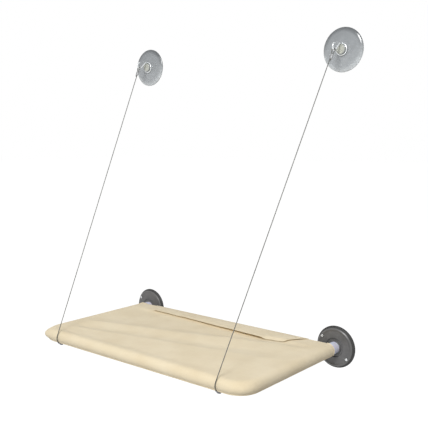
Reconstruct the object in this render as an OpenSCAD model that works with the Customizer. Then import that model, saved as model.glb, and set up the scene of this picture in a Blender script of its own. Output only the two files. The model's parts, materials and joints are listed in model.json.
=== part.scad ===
// Window mounted cat perch: a canvas covered pipe frame on two cups, hung from two more by cables.
// The glass is the plane y = 0, the room lies at -Y, and the origin is midway between the lower cups.

/* [Window] */
// Distance between the centres of the left and right cups
cup_spacing = 462; // [380:2:560]
// Height of the upper cups above the lower cups
cup_rise = 520; // [400:5:620]
// Diameter of every cup where it meets the glass
cup_d = 76; // [70:1:90]

/* [Frame] */
// Distance from the glass to the front rail's axis
frame_depth = 278; // [220:1:340]
// Distance from the glass to the rear rail's axis
rear_setback = 28; // [27:0.5:40]
// Outer diameter of the pipe
pipe_od = 21.3; // [20:0.1:23]
// Wall of the pipe
pipe_wall = 2.8; // [2.2:0.1:3.2]
// Centre line radius of the front bends
bend_r = 27; // [22:1:45]
// Length of each spigot inside its rail
spigot_len = 24; // [20:1:35]
// Wall of the spigots
spigot_wall = 2; // [1.5:0.1:2.6]
// Reach of a rear tee in front of the rear rail's axis
tee_reach = 20; // [16:1:30]
// Reach of a rear tee's branch from the side rail's axis
branch_reach = 16; // [14:1:24]

/* [Lower cups] */
// Thickness of the rubber pad
pad_t = 4.5; // [4:0.1:6]
// Width of the pad's flat sealing ring
seal_w = 10; // [7:0.5:12]
// Radius of the flange over the pad
flange_r = 34.5; // [32.5:0.5:37]
// Thickness of the flange
flange_t = 2.5; // [2:0.1:4]
// Radius of the circle of screws
screw_circle_r = 29.8; // [26:0.1:31]
// Number of screws in each flange
screw_count = 2; // [2:1:6]
// Angle of the first screw from the right hand side
screw_angle = 145; // [0:1:180]
// Diameter of the centre bolt
bolt_d = 6; // [5:0.5:7]
// Length of the plug inside the tee
plug_len = 12; // [10:0.5:14]

/* [Upper cups] */
// Thickness of the upper cup at its neck
cup_t = 5.5; // [4.5:0.1:7]
// Radius of the neck that the hook's ring sits on
neck_r = 7.9; // [6.5:0.1:9]
// Diameter of the hook's wire
hook_wire_d = 3; // [2.5:0.1:3.5]
// Distance from the glass to the centre of the hook's curl
hook_reach = 31; // [26:0.5:38]
// Height of the curl's centre above the cup's centre
hook_lift = 2; // [-2:0.5:6]
// Centre line radius of the curl
curl_r = 6; // [5.5:0.1:8]

/* [Cables] */
// Diameter of the wire rope
cable_d = 1.5; // [1.2:0.1:2]
// Distance between the places where the cables meet the front rail
anchor_spacing = 377; // [330:1:390]
// Length of the crimped ferrule
ferrule_len = 9; // [7:0.5:12]

/* [Cover] */
// Thickness of the canvas
canvas_t = 0.65; // [0.5:0.05:1]
// Greatest dip of the top panel below the rails
panel_sag = 3.4; // [2:0.1:5]
// Greatest dip of the bottom panel
belly_sag = 4; // [2:0.5:8]
// Width of the rear flap at its root
flap_w = 376; // [330:2:390]
// Distance from the glass to the flap's free edge where it reaches furthest
flap_edge = 75; // [70:1:85]
// How much nearer to the glass the flap's left corner is
flap_slant = 14; // [0:1:18]
// Width of the hook and loop strips
strip_w = 16; // [12:1:20]

/* [Hidden] */
$fn = 64;

// How far a cut runs past the face that it opens
overrun = 1;
// How far a bent wire swells at its corners, where its stretches join
corner_swell = 0.02;
// Radial gaps: a spigot in a rail, a fixed screw or bolt in its hole, a turning fit
spigot_gap = 0.1;
fixed_gap = 0.05;
turning_gap = 0.08;
// Gap between flat faces that move over each other, and between canvas and pipe
swivel_gap = 0.3;
cover_gap = 0.3;

// Places of the rails
side_x = cup_spacing / 2;
front_y = -frame_depth;
rear_y = -rear_setback;
pipe_r = pipe_od / 2;
pipe_bore_r = pipe_r - pipe_wall;
spigot_r = pipe_bore_r - spigot_gap;
spigot_bore_r = spigot_r - spigot_wall;
tee_front = rear_setback + tee_reach;
rail_front = frame_depth - bend_r;
// The branch is moulded a little slimmer than the run that it grows from
branch_step = 0.4;
branch_r = pipe_r - branch_step;
branch_bore_r = spigot_bore_r - branch_step;

// Lower cup, as depths from the glass
cup_r = cup_d / 2;
pad_hollow = 1;
pad_slope_w = 3;
pad_rim_t = 1.4;
pad_bevel_w = 3;
flange_edge_t = 1.3;
flange_bevel_w = 2;
flange_flat_w = 5.5;
flange_cone_rise = 1.2;
bolt_r = bolt_d / 2;
head_r = 5.5;
head_t = 1.8;
seat_floor_t = 2;
seat_wall_w = 1.8;
seat_gap = 0.45;
seat_rise = 1.6;
seat_r = pipe_r + seat_gap;
flange_face = pad_t + flange_t;
seat_floor = pad_t + seat_floor_t;
plug_face = seat_floor + swivel_gap;
plug_rim_t = 1.5;
tee_end = plug_face + plug_rim_t;
nut_af = 10;
nut_t = 5;
nut_r = nut_af / sqrt(3);
nut_pocket_t = 5.4;
nut_seat = tee_end + plug_len - nut_pocket_t;
bolt_stickout = 1.3;
bolt_head_top = pad_t - swivel_gap;
bolt_end = nut_seat + nut_t + bolt_stickout;
screw_r = 1.5;
screw_head_r = 2.6;
screw_head_t = 1.7;
screw_bite = 2.5;
screw_slot_w = 0.7;
screw_slot_t = 0.6;

// Upper cup, as radii and depths from the glass
cup_rim_t = 1.1;
cup_seal_w = 6;
cup_hollow = 2.6;
cup_shoulder_r = 13;
cup_shoulder_t = 4.8;
hook_wire_r = hook_wire_d / 2;
neck_len = hook_wire_d + 2 * swivel_gap;
cup_face = cup_t + neck_len;
button_lip = 0.8;
button_r = neck_r + button_lip;
button_t = 2.9;
button_round_r = 1.2;
ring_r = neck_r + hook_wire_r + turning_gap;
ring_depth = cup_t + neck_len / 2;

// The hook's arm is welded on the ring, passes over the button and runs tangent under the curl
arm_top = button_r + swivel_gap + hook_wire_r;
lead_len = cup_face + button_t - ring_depth;
arm_dy = hook_reach - ring_depth - lead_len;
arm_dz = arm_top - hook_lift;
arm_span = norm([arm_dy, arm_dz]);
arm_len = sqrt(pow(arm_span, 2) - pow(curl_r, 2));
arm_drop = atan2(arm_dz, arm_dy) + asin(curl_r / arm_span);
curl_end = 205;

// The cable runs from a tangent on the front rail's wrap to the wire at the curl
cable_r = cable_d / 2;
cover_in_r = pipe_r + cover_gap;
cover_r = cover_in_r + canvas_t;
wrap_gap = 0.7;
wrap_r = cover_r + wrap_gap + cable_r;
anchor_x = anchor_spacing / 2;
curl_y = -hook_reach;
curl_z = cup_rise + hook_lift;
curl_dist = norm([curl_y - front_y, curl_z]);
lean = atan2(curl_y - front_y, curl_z) + asin(wrap_r / curl_dist);
tangent_y = front_y - wrap_r * cos(lean);
tangent_z = wrap_r * sin(lean);
run_yz = sqrt(pow(curl_dist, 2) - pow(wrap_r, 2)) - curl_r;
run_dx = side_x - anchor_x;
run_len = norm([run_dx, run_yz]);
eye_r = 3.2;
eye_gap = 0.1;
strand_gap_share = 0.2;
strand_pitch = cable_d * (1 + strand_gap_share);
eye_offset = strand_pitch / 2;
tilt = atan2(run_dx, run_yz) - asin(eye_offset / run_len);
wire_z = sqrt(pow(run_len, 2) - pow(eye_offset, 2));
eye_z = wire_z + hook_wire_r + eye_gap + cable_r - eye_r;
eye_drop = 8;
leg_span = norm([eye_offset, eye_drop]);
leg_len = sqrt(pow(leg_span, 2) - pow(eye_r, 2));
leg_angle = asin(eye_r / leg_span) - atan2(eye_offset, eye_drop);
ferrule_top = eye_z - eye_drop;
ferrule_wall = 1.1;
tail_len = 3;
// The wrap stops short of the run's end, so that the run can swing
swing_room = 2.2;

// The lug under the front rail, with angles from straight down towards the room
anchor_angle = 14;
lug_t = 1;
lug_ring_r = 3.8;
lug_strap_w = 3;
lug_pitch = 7;
barrel_len = 4;
barrel_wall = 0.35;
lug_in_r = cover_r + swivel_gap;
barrel_angle = anchor_angle + lug_pitch / wrap_r * 180 / PI;
mouth_angle = asin(barrel_len / 2 / wrap_r);
barrel_axis_r = wrap_r * cos(mouth_angle);
barrel_r = cable_r + fixed_gap + barrel_wall;
wrap_start = barrel_angle + mouth_angle;
wrap_end = 90 + lean - swing_room / wrap_r * 180 / PI;
lug_screw_r = 1.75;
lug_screw_head_r = 3.1;
lug_screw_head_t = 1.9;
lug_screw_tip_share = 0.25;
lug_screw_tip_r = spigot_bore_r - lug_screw_tip_share * spigot_wall;
cover_hole_gap = 0.4;

// The flap, from the rear rail's upper rear side to its free edge
flap_root_angle = 60;
flap_lift = 0.3;
flap_taper = 25;
flap_corner_w = 38;
flap_corner_lift = 7;
strip_t = 0.7;
strip_gap = 0.3;
flap_in_r = cover_r + flap_lift;
flap_z = cover_r + 2 * strip_t + strip_gap;
flap_rise_w = 12;
strip_margin = 3;
strip_end_margin = 4;
strip_front = flap_edge - flap_slant - strip_margin;
strip_half_w = flap_w / 2 - flap_taper - strip_end_margin;
slot_margin = 6;
slot_front_w = 5;
cuff_top = 26;
cuff_bottom = 14;

// The panels hang between the rails, and the top one is taut along two slanting lines.
// Each row gives, as shares, its place from the front rail to the hook strip at the left end
// and at the right end, its dip in the top panel and its dip in the bottom panel, and last
// how far behind the hook strip's front edge it lies.
sag_rows = [
    [0, 0, 0, 0, 0],
    [0.073, 0.073, 0.9, 0.4, 0],
    [0.132, 0.568, 0.35, 0.65, 0],
    [0.191, 0.632, 0.85, 0.8, 0],
    [0.355, 0.905, 0.1, 1, 0],
    [0.586, 0.955, 0.85, 0.9, 0],
    [1, 1, 0, 0.5, 0],
    [1, 1, 0, 0.35, strip_w],
    [1, 1, 0, 0, strip_front - rear_setback]];
// Columns of the panels between the two front bends
column_shares = [-0.85, -0.43, 0, 0.43, 0.85];
// How far from a side rail the panels reach their full dip
sag_edge_w = 50;
// How far the panels' edges lie under the round of the sleeves
seam_drop = 0.2;

// Turns a shape made along +Z so that it runs from the glass into the room
module from_glass() {
    rotate([90, 0, 0]) children();
}

// Makes the left piece as the mirror of the right one
module on_left() {
    mirror([1, 0, 0]) children();
}

// Makes the left cup as a copy of the right one, not as its mirror
module at_left() {
    translate([-cup_spacing, 0, 0]) children();
}

// Local X points away from the X axis at an angle from straight down towards the room
module round_rail(angle) {
    rotate([0, 90, 180]) rotate([0, 0, angle]) children();
}

module ring_pipe(length, outer, inner) {
    difference() {
        cylinder(r = outer, h = length);
        translate([0, 0, -overrun]) cylinder(r = inner, h = length + 2 * overrun);
    }
}

// Places of the flange's screws
module at_screws() {
    for (i = [0:screw_count - 1])
        rotate([0, 0, screw_angle + i * 360 / screw_count])
            translate([screw_circle_r, 0, 0]) children();
}

module suction_pad() {
    color([0.17, 0.17, 0.17]) translate([side_x, 0, 0]) from_glass() difference() {
        rotate_extrude() polygon([
            [0, pad_hollow],
            [cup_r - seal_w - pad_slope_w, pad_hollow],
            [cup_r - seal_w, 0],
            [cup_r, 0],
            [cup_r, pad_rim_t],
            [cup_r - pad_bevel_w, pad_t],
            [0, pad_t]]);
        translate([0, 0, pad_t - head_t - 2 * swivel_gap])
            cylinder(r = head_r + swivel_gap, h = head_t + 2 * swivel_gap + overrun);
        at_screws() translate([0, 0, pad_t - screw_bite - fixed_gap])
            cylinder(r = screw_r + fixed_gap, h = screw_bite + overrun, $fn = 24);
    }
}

module flange() {
    color([0.39, 0.39, 0.38]) translate([side_x, 0, 0]) from_glass() difference() {
        rotate_extrude() polygon([
            [bolt_r + turning_gap, pad_t],
            [flange_r, pad_t],
            [flange_r, pad_t + flange_edge_t],
            [flange_r - flange_bevel_w, flange_face],
            [flange_r - flange_bevel_w - flange_flat_w, flange_face],
            [seat_r + 2 * seat_wall_w, flange_face + flange_cone_rise],
            [seat_r + seat_wall_w, flange_face + flange_cone_rise],
            [seat_r + seat_wall_w, flange_face + seat_rise],
            [seat_r, flange_face + seat_rise],
            [seat_r, seat_floor],
            [bolt_r + turning_gap, seat_floor]]);
        at_screws() translate([0, 0, pad_t - overrun])
            cylinder(r = screw_r + fixed_gap, h = flange_t + 2 * overrun, $fn = 24);
    }
}

module flange_screws() {
    color([0.8, 0.8, 0.8]) translate([side_x, 0, 0]) from_glass() at_screws() {
        translate([0, 0, pad_t - screw_bite]) cylinder(r = screw_r, h = screw_bite + flange_t, $fn = 24);
        translate([0, 0, flange_face]) difference() {
            cylinder(r1 = screw_head_r, r2 = screw_head_r - screw_slot_t, h = screw_head_t, $fn = 32);
            for (a = [0, 90]) rotate([0, 0, a])
                translate([-screw_r, -screw_slot_w / 2, screw_head_t - screw_slot_t])
                    cube([screw_r * 2, screw_slot_w, screw_slot_t + overrun]);
        }
    }
}

module center_bolt() {
    color([0.7, 0.7, 0.72]) translate([side_x, 0, 0]) from_glass() {
        translate([0, 0, bolt_head_top - head_t]) cylinder(r = head_r, h = head_t);
        translate([0, 0, bolt_head_top]) cylinder(r = bolt_r, h = bolt_end - bolt_head_top);
    }
}

module bolt_nut() {
    color([0.7, 0.7, 0.72]) translate([side_x, 0, 0]) from_glass() translate([0, 0, nut_seat])
        difference() {
            cylinder(r = nut_r, h = nut_t, $fn = 6);
            translate([0, 0, -overrun]) cylinder(r = bolt_r + fixed_gap, h = nut_t + 2 * overrun);
        }
}

module end_plug() {
    color([0.9, 0.9, 0.92]) translate([side_x, 0, 0]) from_glass() difference() {
        union() {
            translate([0, 0, plug_face]) cylinder(r = pipe_r, h = plug_rim_t);
            translate([0, 0, tee_end]) cylinder(r = pipe_bore_r - spigot_gap, h = plug_len);
        }
        translate([0, 0, plug_face - overrun])
            cylinder(r = bolt_r + fixed_gap, h = plug_rim_t + plug_len + 2 * overrun);
        translate([0, 0, nut_seat])
            cylinder(r = nut_r + fixed_gap, h = nut_pocket_t + overrun, $fn = 6);
    }
}

module rear_tee() {
    color([0.93, 0.93, 0.95]) translate([side_x, 0, 0]) difference() {
        union() {
            from_glass() translate([0, 0, tee_end]) cylinder(r = pipe_r, h = tee_front - tee_end);
            from_glass() translate([0, 0, tee_front]) cylinder(r = spigot_r, h = spigot_len);
            translate([0, rear_y, 0]) rotate([0, -90, 0]) cylinder(r = branch_r, h = branch_reach);
            translate([-branch_reach, rear_y, 0]) rotate([0, -90, 0])
                cylinder(r = spigot_r, h = spigot_len);
        }
        from_glass() translate([0, 0, tee_end - overrun])
            cylinder(r = pipe_bore_r, h = plug_len + swivel_gap + overrun);
        from_glass() translate([0, 0, tee_end])
            cylinder(r = spigot_bore_r, h = tee_front + spigot_len - tee_end + overrun);
        translate([0, rear_y, 0]) rotate([0, -90, 0])
            cylinder(r = branch_bore_r, h = branch_reach + spigot_len + overrun);
    }
}

module side_rail() {
    color([0.93, 0.93, 0.95]) translate([side_x, -tee_front, 0]) from_glass()
        ring_pipe(rail_front - tee_front, pipe_r, pipe_bore_r);
}

// Ring profile of the bend, revolved through a right angle
module front_bend() {
    color([0.93, 0.93, 0.95]) difference() {
        union() {
            translate([side_x - bend_r, -rail_front, 0]) rotate([0, 0, -90])
                rotate_extrude(angle = 90) translate([bend_r, 0]) difference() {
                    circle(r = pipe_r);
                    circle(r = spigot_bore_r);
                }
            translate([side_x, -rail_front, 0]) rotate([-90, 0, 0])
                ring_pipe(spigot_len, spigot_r, spigot_bore_r);
            translate([side_x - bend_r, front_y, 0]) rotate([0, -90, 0])
                ring_pipe(spigot_len, spigot_r, spigot_bore_r);
        }
        lug_screw_hole(0);
    }
}

module lug_screw_hole(gap) {
    translate([anchor_x, front_y, 0]) round_rail(anchor_angle) rotate([0, 90, 0])
        cylinder(r = lug_screw_r + fixed_gap + gap, h = wrap_r, $fn = 24);
}

module front_rail() {
    color([0.93, 0.93, 0.95]) difference() {
        translate([-side_x + bend_r, front_y, 0]) rotate([0, 90, 0])
            ring_pipe(2 * (side_x - bend_r), pipe_r, pipe_bore_r);
        lug_screw_hole(0);
        on_left() lug_screw_hole(0);
    }
}

module rear_rail() {
    color([0.93, 0.93, 0.95]) translate([-side_x + branch_reach, rear_y, 0]) rotate([0, 90, 0])
        ring_pipe(2 * (side_x - branch_reach), pipe_r, pipe_bore_r);
}

// The panels' columns from left to right, each with its place on the front rail's axis
function panel_columns() = concat(
    [for (a = [90:-30:0]) [-side_x + bend_r * (1 - sin(a)), -rail_front - bend_r * cos(a)]],
    [for (s = column_shares) [s * (side_x - bend_r), front_y]],
    [for (a = [0:30:90]) [side_x - bend_r * (1 - sin(a)), -rail_front - bend_r * cos(a)]]);

// Points of the top panel or the bottom panel, column by column, for rails of a radius
function panel_points(r, is_top) = [
    for (column = panel_columns())
        for (row = sag_rows)
            let (
                across_share = (column[0] + side_x) / (2 * side_x),
                along_share = row[0] + (row[1] - row[0]) * across_share,
                side_share = min(1, (side_x - abs(column[0])) / sag_edge_w),
                dip = side_share * (is_top ? panel_sag * row[2] : belly_sag * row[3]),
                is_edge = side_share == 0 || row == sag_rows[0] || row == sag_rows[len(sag_rows) - 1],
                y = column[1] + (-strip_front - column[1]) * along_share + row[4])
            [column[0], y, is_top ? r - (is_edge ? seam_drop : dip) : (is_edge ? seam_drop : -dip) - r]];

// The space between the two panels
module panel_slab(r) {
    rows = len(sag_rows);
    columns = len(panel_columns());
    under = rows * columns;
    faces = concat(
        [for (i = [0:columns - 2]) for (j = [0:rows - 2]) let (a = i * rows + j)
            for (face = [
                [a, a + 1, a + rows + 1],
                [a, a + rows + 1, a + rows],
                [under + a, under + a + rows + 1, under + a + 1],
                [under + a, under + a + rows, under + a + rows + 1]]) face],
        [for (j = [0:rows - 2]) let (a = j, b = under - rows + j)
            for (face = [
                [a + 1, a, under + a, under + a + 1],
                [b, b + 1, under + b + 1, under + b]]) face],
        [for (i = [0:columns - 2]) let (a = i * rows, b = a + rows - 1)
            for (face = [
                [a, a + rows, under + a + rows, under + a],
                [b + rows, b, under + b, under + b + rows]]) face]);
    polyhedron(points = concat(panel_points(r, true), panel_points(r, false)), faces = faces);
}

// The space inside a bag whose edges are round with a radius
module bag(r) {
    panel_slab(r);
    translate([-side_x + bend_r, front_y, 0]) rotate([0, 90, 0])
        cylinder(r = r, h = 2 * (side_x - bend_r));
    translate([-side_x, rear_y, 0]) rotate([0, 90, 0]) cylinder(r = r, h = 2 * side_x);
    for (side = [0, 1]) mirror([side, 0, 0]) {
        translate([side_x, -cuff_bottom, 0]) from_glass()
            cylinder(r = r, h = rail_front - cuff_bottom);
        translate([side_x - bend_r, -rail_front, 0]) rotate([0, 0, -90])
            rotate_extrude(angle = 90) translate([bend_r, 0]) circle(r = r);
    }
}

module cover() {
    cuff_angle = atan2(cuff_top - cuff_bottom, 2 * cover_r);
    color([0.91, 0.86, 0.75]) difference() {
        bag(cover_r);
        bag(cover_in_r);
        for (side = [0, 1]) mirror([side, 0, 0]) {
            // The side sleeve ends in a slanted cuff
            translate([side_x - cover_r - overrun, -(cuff_top + cuff_bottom) / 2, 0])
                rotate([cuff_angle, 0, 0]) translate([0, 0, -2 * cover_r])
                    cube([2 * cover_r + 2 * overrun, cuff_top, 4 * cover_r]);
            lug_screw_hole(cover_hole_gap);
        }
        // The mouth of the bag over the rear rail, under the flap
        translate([-flap_w / 2 + slot_margin, rear_y - slot_front_w, cover_r * sin(flap_root_angle)])
            cube([flap_w - 2 * slot_margin, slot_front_w + cover_r, cover_r]);
    }
}

// Lower line of the flap in the YZ plane, for a canvas offset outwards
function flap_line(off) = concat(
    [for (a = [flap_root_angle:6:90]) [rear_y + (flap_in_r + off) * cos(a), (flap_in_r + off) * sin(a)]],
    [[rear_y - flap_rise_w, flap_z + off], [-flap_edge, flap_z + off]]);

module rear_flap() {
    under = flap_line(0);
    over = flap_line(canvas_t);
    root_x = flap_w / 2;
    edge_x = root_x - flap_taper;
    color([0.93, 0.88, 0.77]) intersection() {
        translate([-root_x, 0, 0]) rotate([90, 0, 90]) linear_extrude(height = flap_w)
            polygon(concat(under, [for (i = [len(over) - 1:-1:0]) over[i]]));
        linear_extrude(height = 2 * flap_z) polygon([
            [-root_x, 0],
            [-root_x, rear_y],
            [-edge_x, -flap_edge + flap_slant],
            [edge_x - flap_corner_w, -flap_edge],
            [edge_x, -flap_edge + flap_corner_lift],
            [root_x, rear_y],
            [root_x, 0]]);
    }
}

module strip(z) {
    color([0.85, 0.82, 0.74]) translate([-strip_half_w, -strip_front, z])
        cube([2 * strip_half_w, strip_w, strip_t]);
}

module upper_cup() {
    color([0.72, 0.74, 0.74]) translate([side_x, 0, cup_rise]) from_glass()
        rotate_extrude() polygon([
            [0, cup_hollow],
            [cup_r - cup_seal_w, 0],
            [cup_r, 0],
            [cup_r, cup_rim_t],
            [cup_r - cup_seal_w, cup_rim_t + cup_hollow / 2],
            [cup_shoulder_r, cup_shoulder_t],
            [neck_r, cup_t],
            [neck_r, cup_face],
            [button_r, cup_face],
            [button_r, cup_face + button_t - button_round_r],
            [button_r - button_round_r, cup_face + button_t],
            [0, cup_face + button_t]]);
}

// A straight stretch of the hook's wire with round corners at both ends
module wire_stretch(length) {
    cylinder(r = hook_wire_r, h = length, $fn = 32);
    for (z = [0, length]) translate([0, 0, z]) sphere(r = hook_wire_r + corner_swell, $fn = 32);
}

module hook() {
    color([0.75, 0.76, 0.78]) translate([side_x, 0, cup_rise]) {
        translate([0, -ring_depth, 0]) rotate([90, 0, 0]) rotate_extrude()
            translate([ring_r, 0]) circle(r = hook_wire_r, $fn = 32);
        translate([0, -ring_depth, arm_top]) rotate([90, 0, 0]) wire_stretch(lead_len);
        translate([0, -ring_depth - lead_len, arm_top]) rotate([90 + arm_drop, 0, 0])
            wire_stretch(arm_len);
        translate([0, -hook_reach, hook_lift]) round_rail(-arm_drop)
            rotate_extrude(angle = curl_end + arm_drop)
                translate([curl_r, 0]) circle(r = hook_wire_r, $fn = 32);
    }
}

// Local +Z runs up the cable from its tangent on the front rail
module along_cable() {
    translate([anchor_x, tangent_y, tangent_z]) rotate([-lean, 0, 0]) rotate([0, tilt, 0]) children();
}

module strand(length) {
    cylinder(r = cable_r, h = length, $fn = 24);
}

// A leg of the eye, from the ferrule to the eye's round end
module eye_leg() {
    strand(leg_len);
    for (z = [0, leg_len]) translate([0, 0, z]) sphere(r = cable_r + corner_swell, $fn = 24);
}

module cable() {
    color([0.62, 0.62, 0.6]) along_cable() {
        strand(ferrule_top);
        translate([strand_pitch, 0, ferrule_top - ferrule_len - tail_len])
            strand(ferrule_len + tail_len);
        translate([0, 0, ferrule_top]) rotate([0, -leg_angle, 0]) eye_leg();
        translate([strand_pitch, 0, ferrule_top]) rotate([0, leg_angle, 0]) eye_leg();
        translate([eye_offset, 0, eye_z]) rotate([90, 0, 0]) rotate([0, 0, -leg_angle])
            rotate_extrude(angle = 180 + 2 * leg_angle)
                translate([eye_r, 0]) circle(r = cable_r, $fn = 24);
    }
}

module ferrule() {
    outer = cable_r + ferrule_wall;
    color([0.7, 0.7, 0.7]) along_cable() translate([0, 0, ferrule_top - ferrule_len]) difference() {
        union() {
            for (x = [0, strand_pitch]) translate([x, 0, 0]) cylinder(r = outer, h = ferrule_len);
            translate([0, -outer, 0]) cube([strand_pitch, 2 * outer, ferrule_len]);
        }
        for (x = [0, strand_pitch]) translate([x, 0, -overrun])
            cylinder(r = cable_r + fixed_gap, h = ferrule_len + 2 * overrun, $fn = 24);
    }
}

module cable_wrap() {
    color([0.62, 0.62, 0.6]) translate([anchor_x, front_y, 0]) {
        round_rail(wrap_start) rotate_extrude(angle = wrap_end - wrap_start)
            translate([wrap_r, 0]) circle(r = cable_r, $fn = 24);
        round_rail(barrel_angle) translate([barrel_axis_r, barrel_len / 2, 0])
            rotate([90, 0, 0]) strand(barrel_len);
    }
}

module cable_lug() {
    color([0.45, 0.45, 0.45]) translate([anchor_x, front_y, 0]) difference() {
        union() {
            round_rail(anchor_angle) translate([lug_in_r, 0, 0]) rotate([0, 90, 0])
                cylinder(r = lug_ring_r, h = lug_t);
            round_rail(anchor_angle) rotate_extrude(angle = barrel_angle - anchor_angle)
                translate([lug_in_r, -lug_strap_w / 2]) square([lug_t, lug_strap_w]);
            round_rail(barrel_angle) translate([barrel_axis_r, barrel_len / 2, 0])
                rotate([90, 0, 0]) cylinder(r = barrel_r, h = barrel_len, $fn = 32);
        }
        round_rail(barrel_angle) translate([barrel_axis_r, barrel_len / 2 + overrun, 0])
            rotate([90, 0, 0])
                cylinder(r = cable_r + fixed_gap, h = barrel_len + 2 * overrun, $fn = 24);
        round_rail(anchor_angle) rotate([0, 90, 0])
            cylinder(r = lug_screw_r + fixed_gap, h = 2 * wrap_r, $fn = 24);
    }
}

module lug_screw() {
    color([0.5, 0.5, 0.5]) translate([anchor_x, front_y, 0]) round_rail(anchor_angle) {
        translate([lug_screw_tip_r, 0, 0]) rotate([0, 90, 0])
            cylinder(r = lug_screw_r, h = lug_in_r + lug_t - lug_screw_tip_r, $fn = 24);
        translate([lug_in_r + lug_t, 0, 0]) rotate([0, 90, 0])
            cylinder(r1 = lug_screw_head_r, r2 = lug_screw_head_r - lug_screw_head_t / 2,
                h = lug_screw_head_t);
    }
}

at_left() suction_pad();  // left_suction_pad
suction_pad();  // right_suction_pad
at_left() flange();  // left_flange
flange();  // right_flange
at_left() flange_screws();  // left_flange_screws
flange_screws();  // right_flange_screws
on_left() center_bolt();  // left_center_bolt
center_bolt();  // right_center_bolt
on_left() bolt_nut();  // left_bolt_nut
bolt_nut();  // right_bolt_nut
on_left() end_plug();  // left_end_plug
end_plug();  // right_end_plug
on_left() rear_tee();  // left_rear_tee
rear_tee();  // right_rear_tee
on_left() side_rail();  // left_side_rail
side_rail();  // right_side_rail
on_left() front_bend();  // left_front_bend
front_bend();  // right_front_bend
front_rail();
rear_rail();
cover();
rear_flap();
strip(cover_r);  // hook_strip
strip(flap_z - strip_t);  // loop_strip
on_left() upper_cup();  // left_upper_cup
upper_cup();  // right_upper_cup
on_left() hook();  // left_hook
hook();  // right_hook
on_left() cable();  // left_cable
cable();  // right_cable
on_left() ferrule();  // left_ferrule
ferrule();  // right_ferrule
on_left() cable_wrap();  // left_cable_wrap
cable_wrap();  // right_cable_wrap
on_left() cable_lug();  // left_cable_lug
cable_lug();  // right_cable_lug
on_left() lug_screw();  // left_lug_screw
lug_screw();  // right_lug_screw
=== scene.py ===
import json
import math
import random

import bmesh
import bpy
from mathutils import Matrix, Vector, noise


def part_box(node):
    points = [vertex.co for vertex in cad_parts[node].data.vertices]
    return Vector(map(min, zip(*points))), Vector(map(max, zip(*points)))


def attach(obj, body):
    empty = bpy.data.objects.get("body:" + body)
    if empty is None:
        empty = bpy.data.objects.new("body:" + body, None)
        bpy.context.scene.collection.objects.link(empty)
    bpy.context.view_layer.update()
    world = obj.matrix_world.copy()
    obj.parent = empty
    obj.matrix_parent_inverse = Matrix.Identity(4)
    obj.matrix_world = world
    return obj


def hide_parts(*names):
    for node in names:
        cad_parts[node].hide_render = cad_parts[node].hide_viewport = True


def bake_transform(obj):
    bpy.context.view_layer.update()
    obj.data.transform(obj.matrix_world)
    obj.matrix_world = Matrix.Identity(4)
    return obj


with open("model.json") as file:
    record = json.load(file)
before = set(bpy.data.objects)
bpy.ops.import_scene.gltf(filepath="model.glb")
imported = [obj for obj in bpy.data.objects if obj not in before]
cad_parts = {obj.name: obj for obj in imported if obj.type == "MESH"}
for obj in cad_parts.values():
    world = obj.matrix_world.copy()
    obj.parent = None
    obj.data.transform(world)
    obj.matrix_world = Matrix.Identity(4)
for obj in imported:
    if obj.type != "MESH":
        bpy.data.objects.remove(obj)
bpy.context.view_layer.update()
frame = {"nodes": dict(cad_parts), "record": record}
scene = bpy.context.scene
nodes = frame["nodes"]
sides = {"left": -1, "right": 1}
print("frame loaded")

mm = 0.001

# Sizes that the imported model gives
railLow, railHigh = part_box("right_side_rail")
frontLow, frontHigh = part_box("front_rail")
rearLow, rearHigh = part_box("rear_rail")
sideX = (railLow.x + railHigh.x) / 2
frontY = (frontLow.y + frontHigh.y) / 2
rearY = (rearLow.y + rearHigh.y) / 2
pipeR = (frontHigh.z - frontLow.z) / 2
bendR = sideX - frontHigh.x
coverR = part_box("cover")[1].z


# Camera: the place that the photograph was taken from
camera = {
    "place": (0.7943, -1.0357, 0.3618),
    "yaw": 39.277,
    "pitch": 6.131,
    "roll": 0.252,
    "lens": 55.98,
    "sensor": 36.0,
}


def addCamera(spec):
    yaw, pitch, roll = (math.radians(spec[key]) for key in ("yaw", "pitch", "roll"))
    ahead = Vector((-math.sin(yaw) * math.cos(pitch), math.cos(yaw) * math.cos(pitch), -math.sin(pitch)))
    across = Vector((math.cos(yaw), math.sin(yaw), 0))
    upward = across.cross(ahead)
    across, upward = (math.cos(roll) * across + math.sin(roll) * upward,
                      math.cos(roll) * upward - math.sin(roll) * across)
    data = bpy.data.cameras.new("camera")
    data.lens = spec["lens"]
    data.sensor_width = spec["sensor"]
    body = bpy.data.objects.new("camera", data)
    turn = Matrix((across, upward, -ahead)).transposed()
    body.matrix_world = Matrix.Translation(spec["place"]) @ turn.to_4x4()
    scene.collection.objects.link(body)
    scene.camera = body


# Materials


def linear(code):
    channels = [int(code[i:i + 2], 16) / 255 for i in (1, 3, 5)]
    return [c / 12.92 if c <= 0.04045 else ((c + 0.055) / 1.055) ** 2.4 for c in channels] + [1]


def addNode(tree, kind, values=None, links=None):
    node = tree.nodes.new("ShaderNode" + kind)
    for key, value in (values or {}).items():
        if isinstance(key, str) and hasattr(node, key):
            setattr(node, key, value)
        else:
            node.inputs[key].default_value = value
    for key, source in (links or {}).items():
        tree.links.new(source, node.inputs[key])
    return node


def clearTree(owner):
    owner.use_nodes = True
    owner.node_tree.nodes.clear()
    return owner.node_tree


def startMaterial(name, **sockets):
    made = bpy.data.materials.new(name)
    tree = clearTree(made)
    shader = addNode(tree, "BsdfPrincipled")
    for key, value in sockets.items():
        shader.inputs[key.replace("_", " ")].default_value = value
    addNode(tree, "OutputMaterial", links={"Surface": shader.outputs[0]})
    return made, tree, shader


# Where most values of a noise texture lie
noiseRange = (0.3, 0.7)


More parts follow.
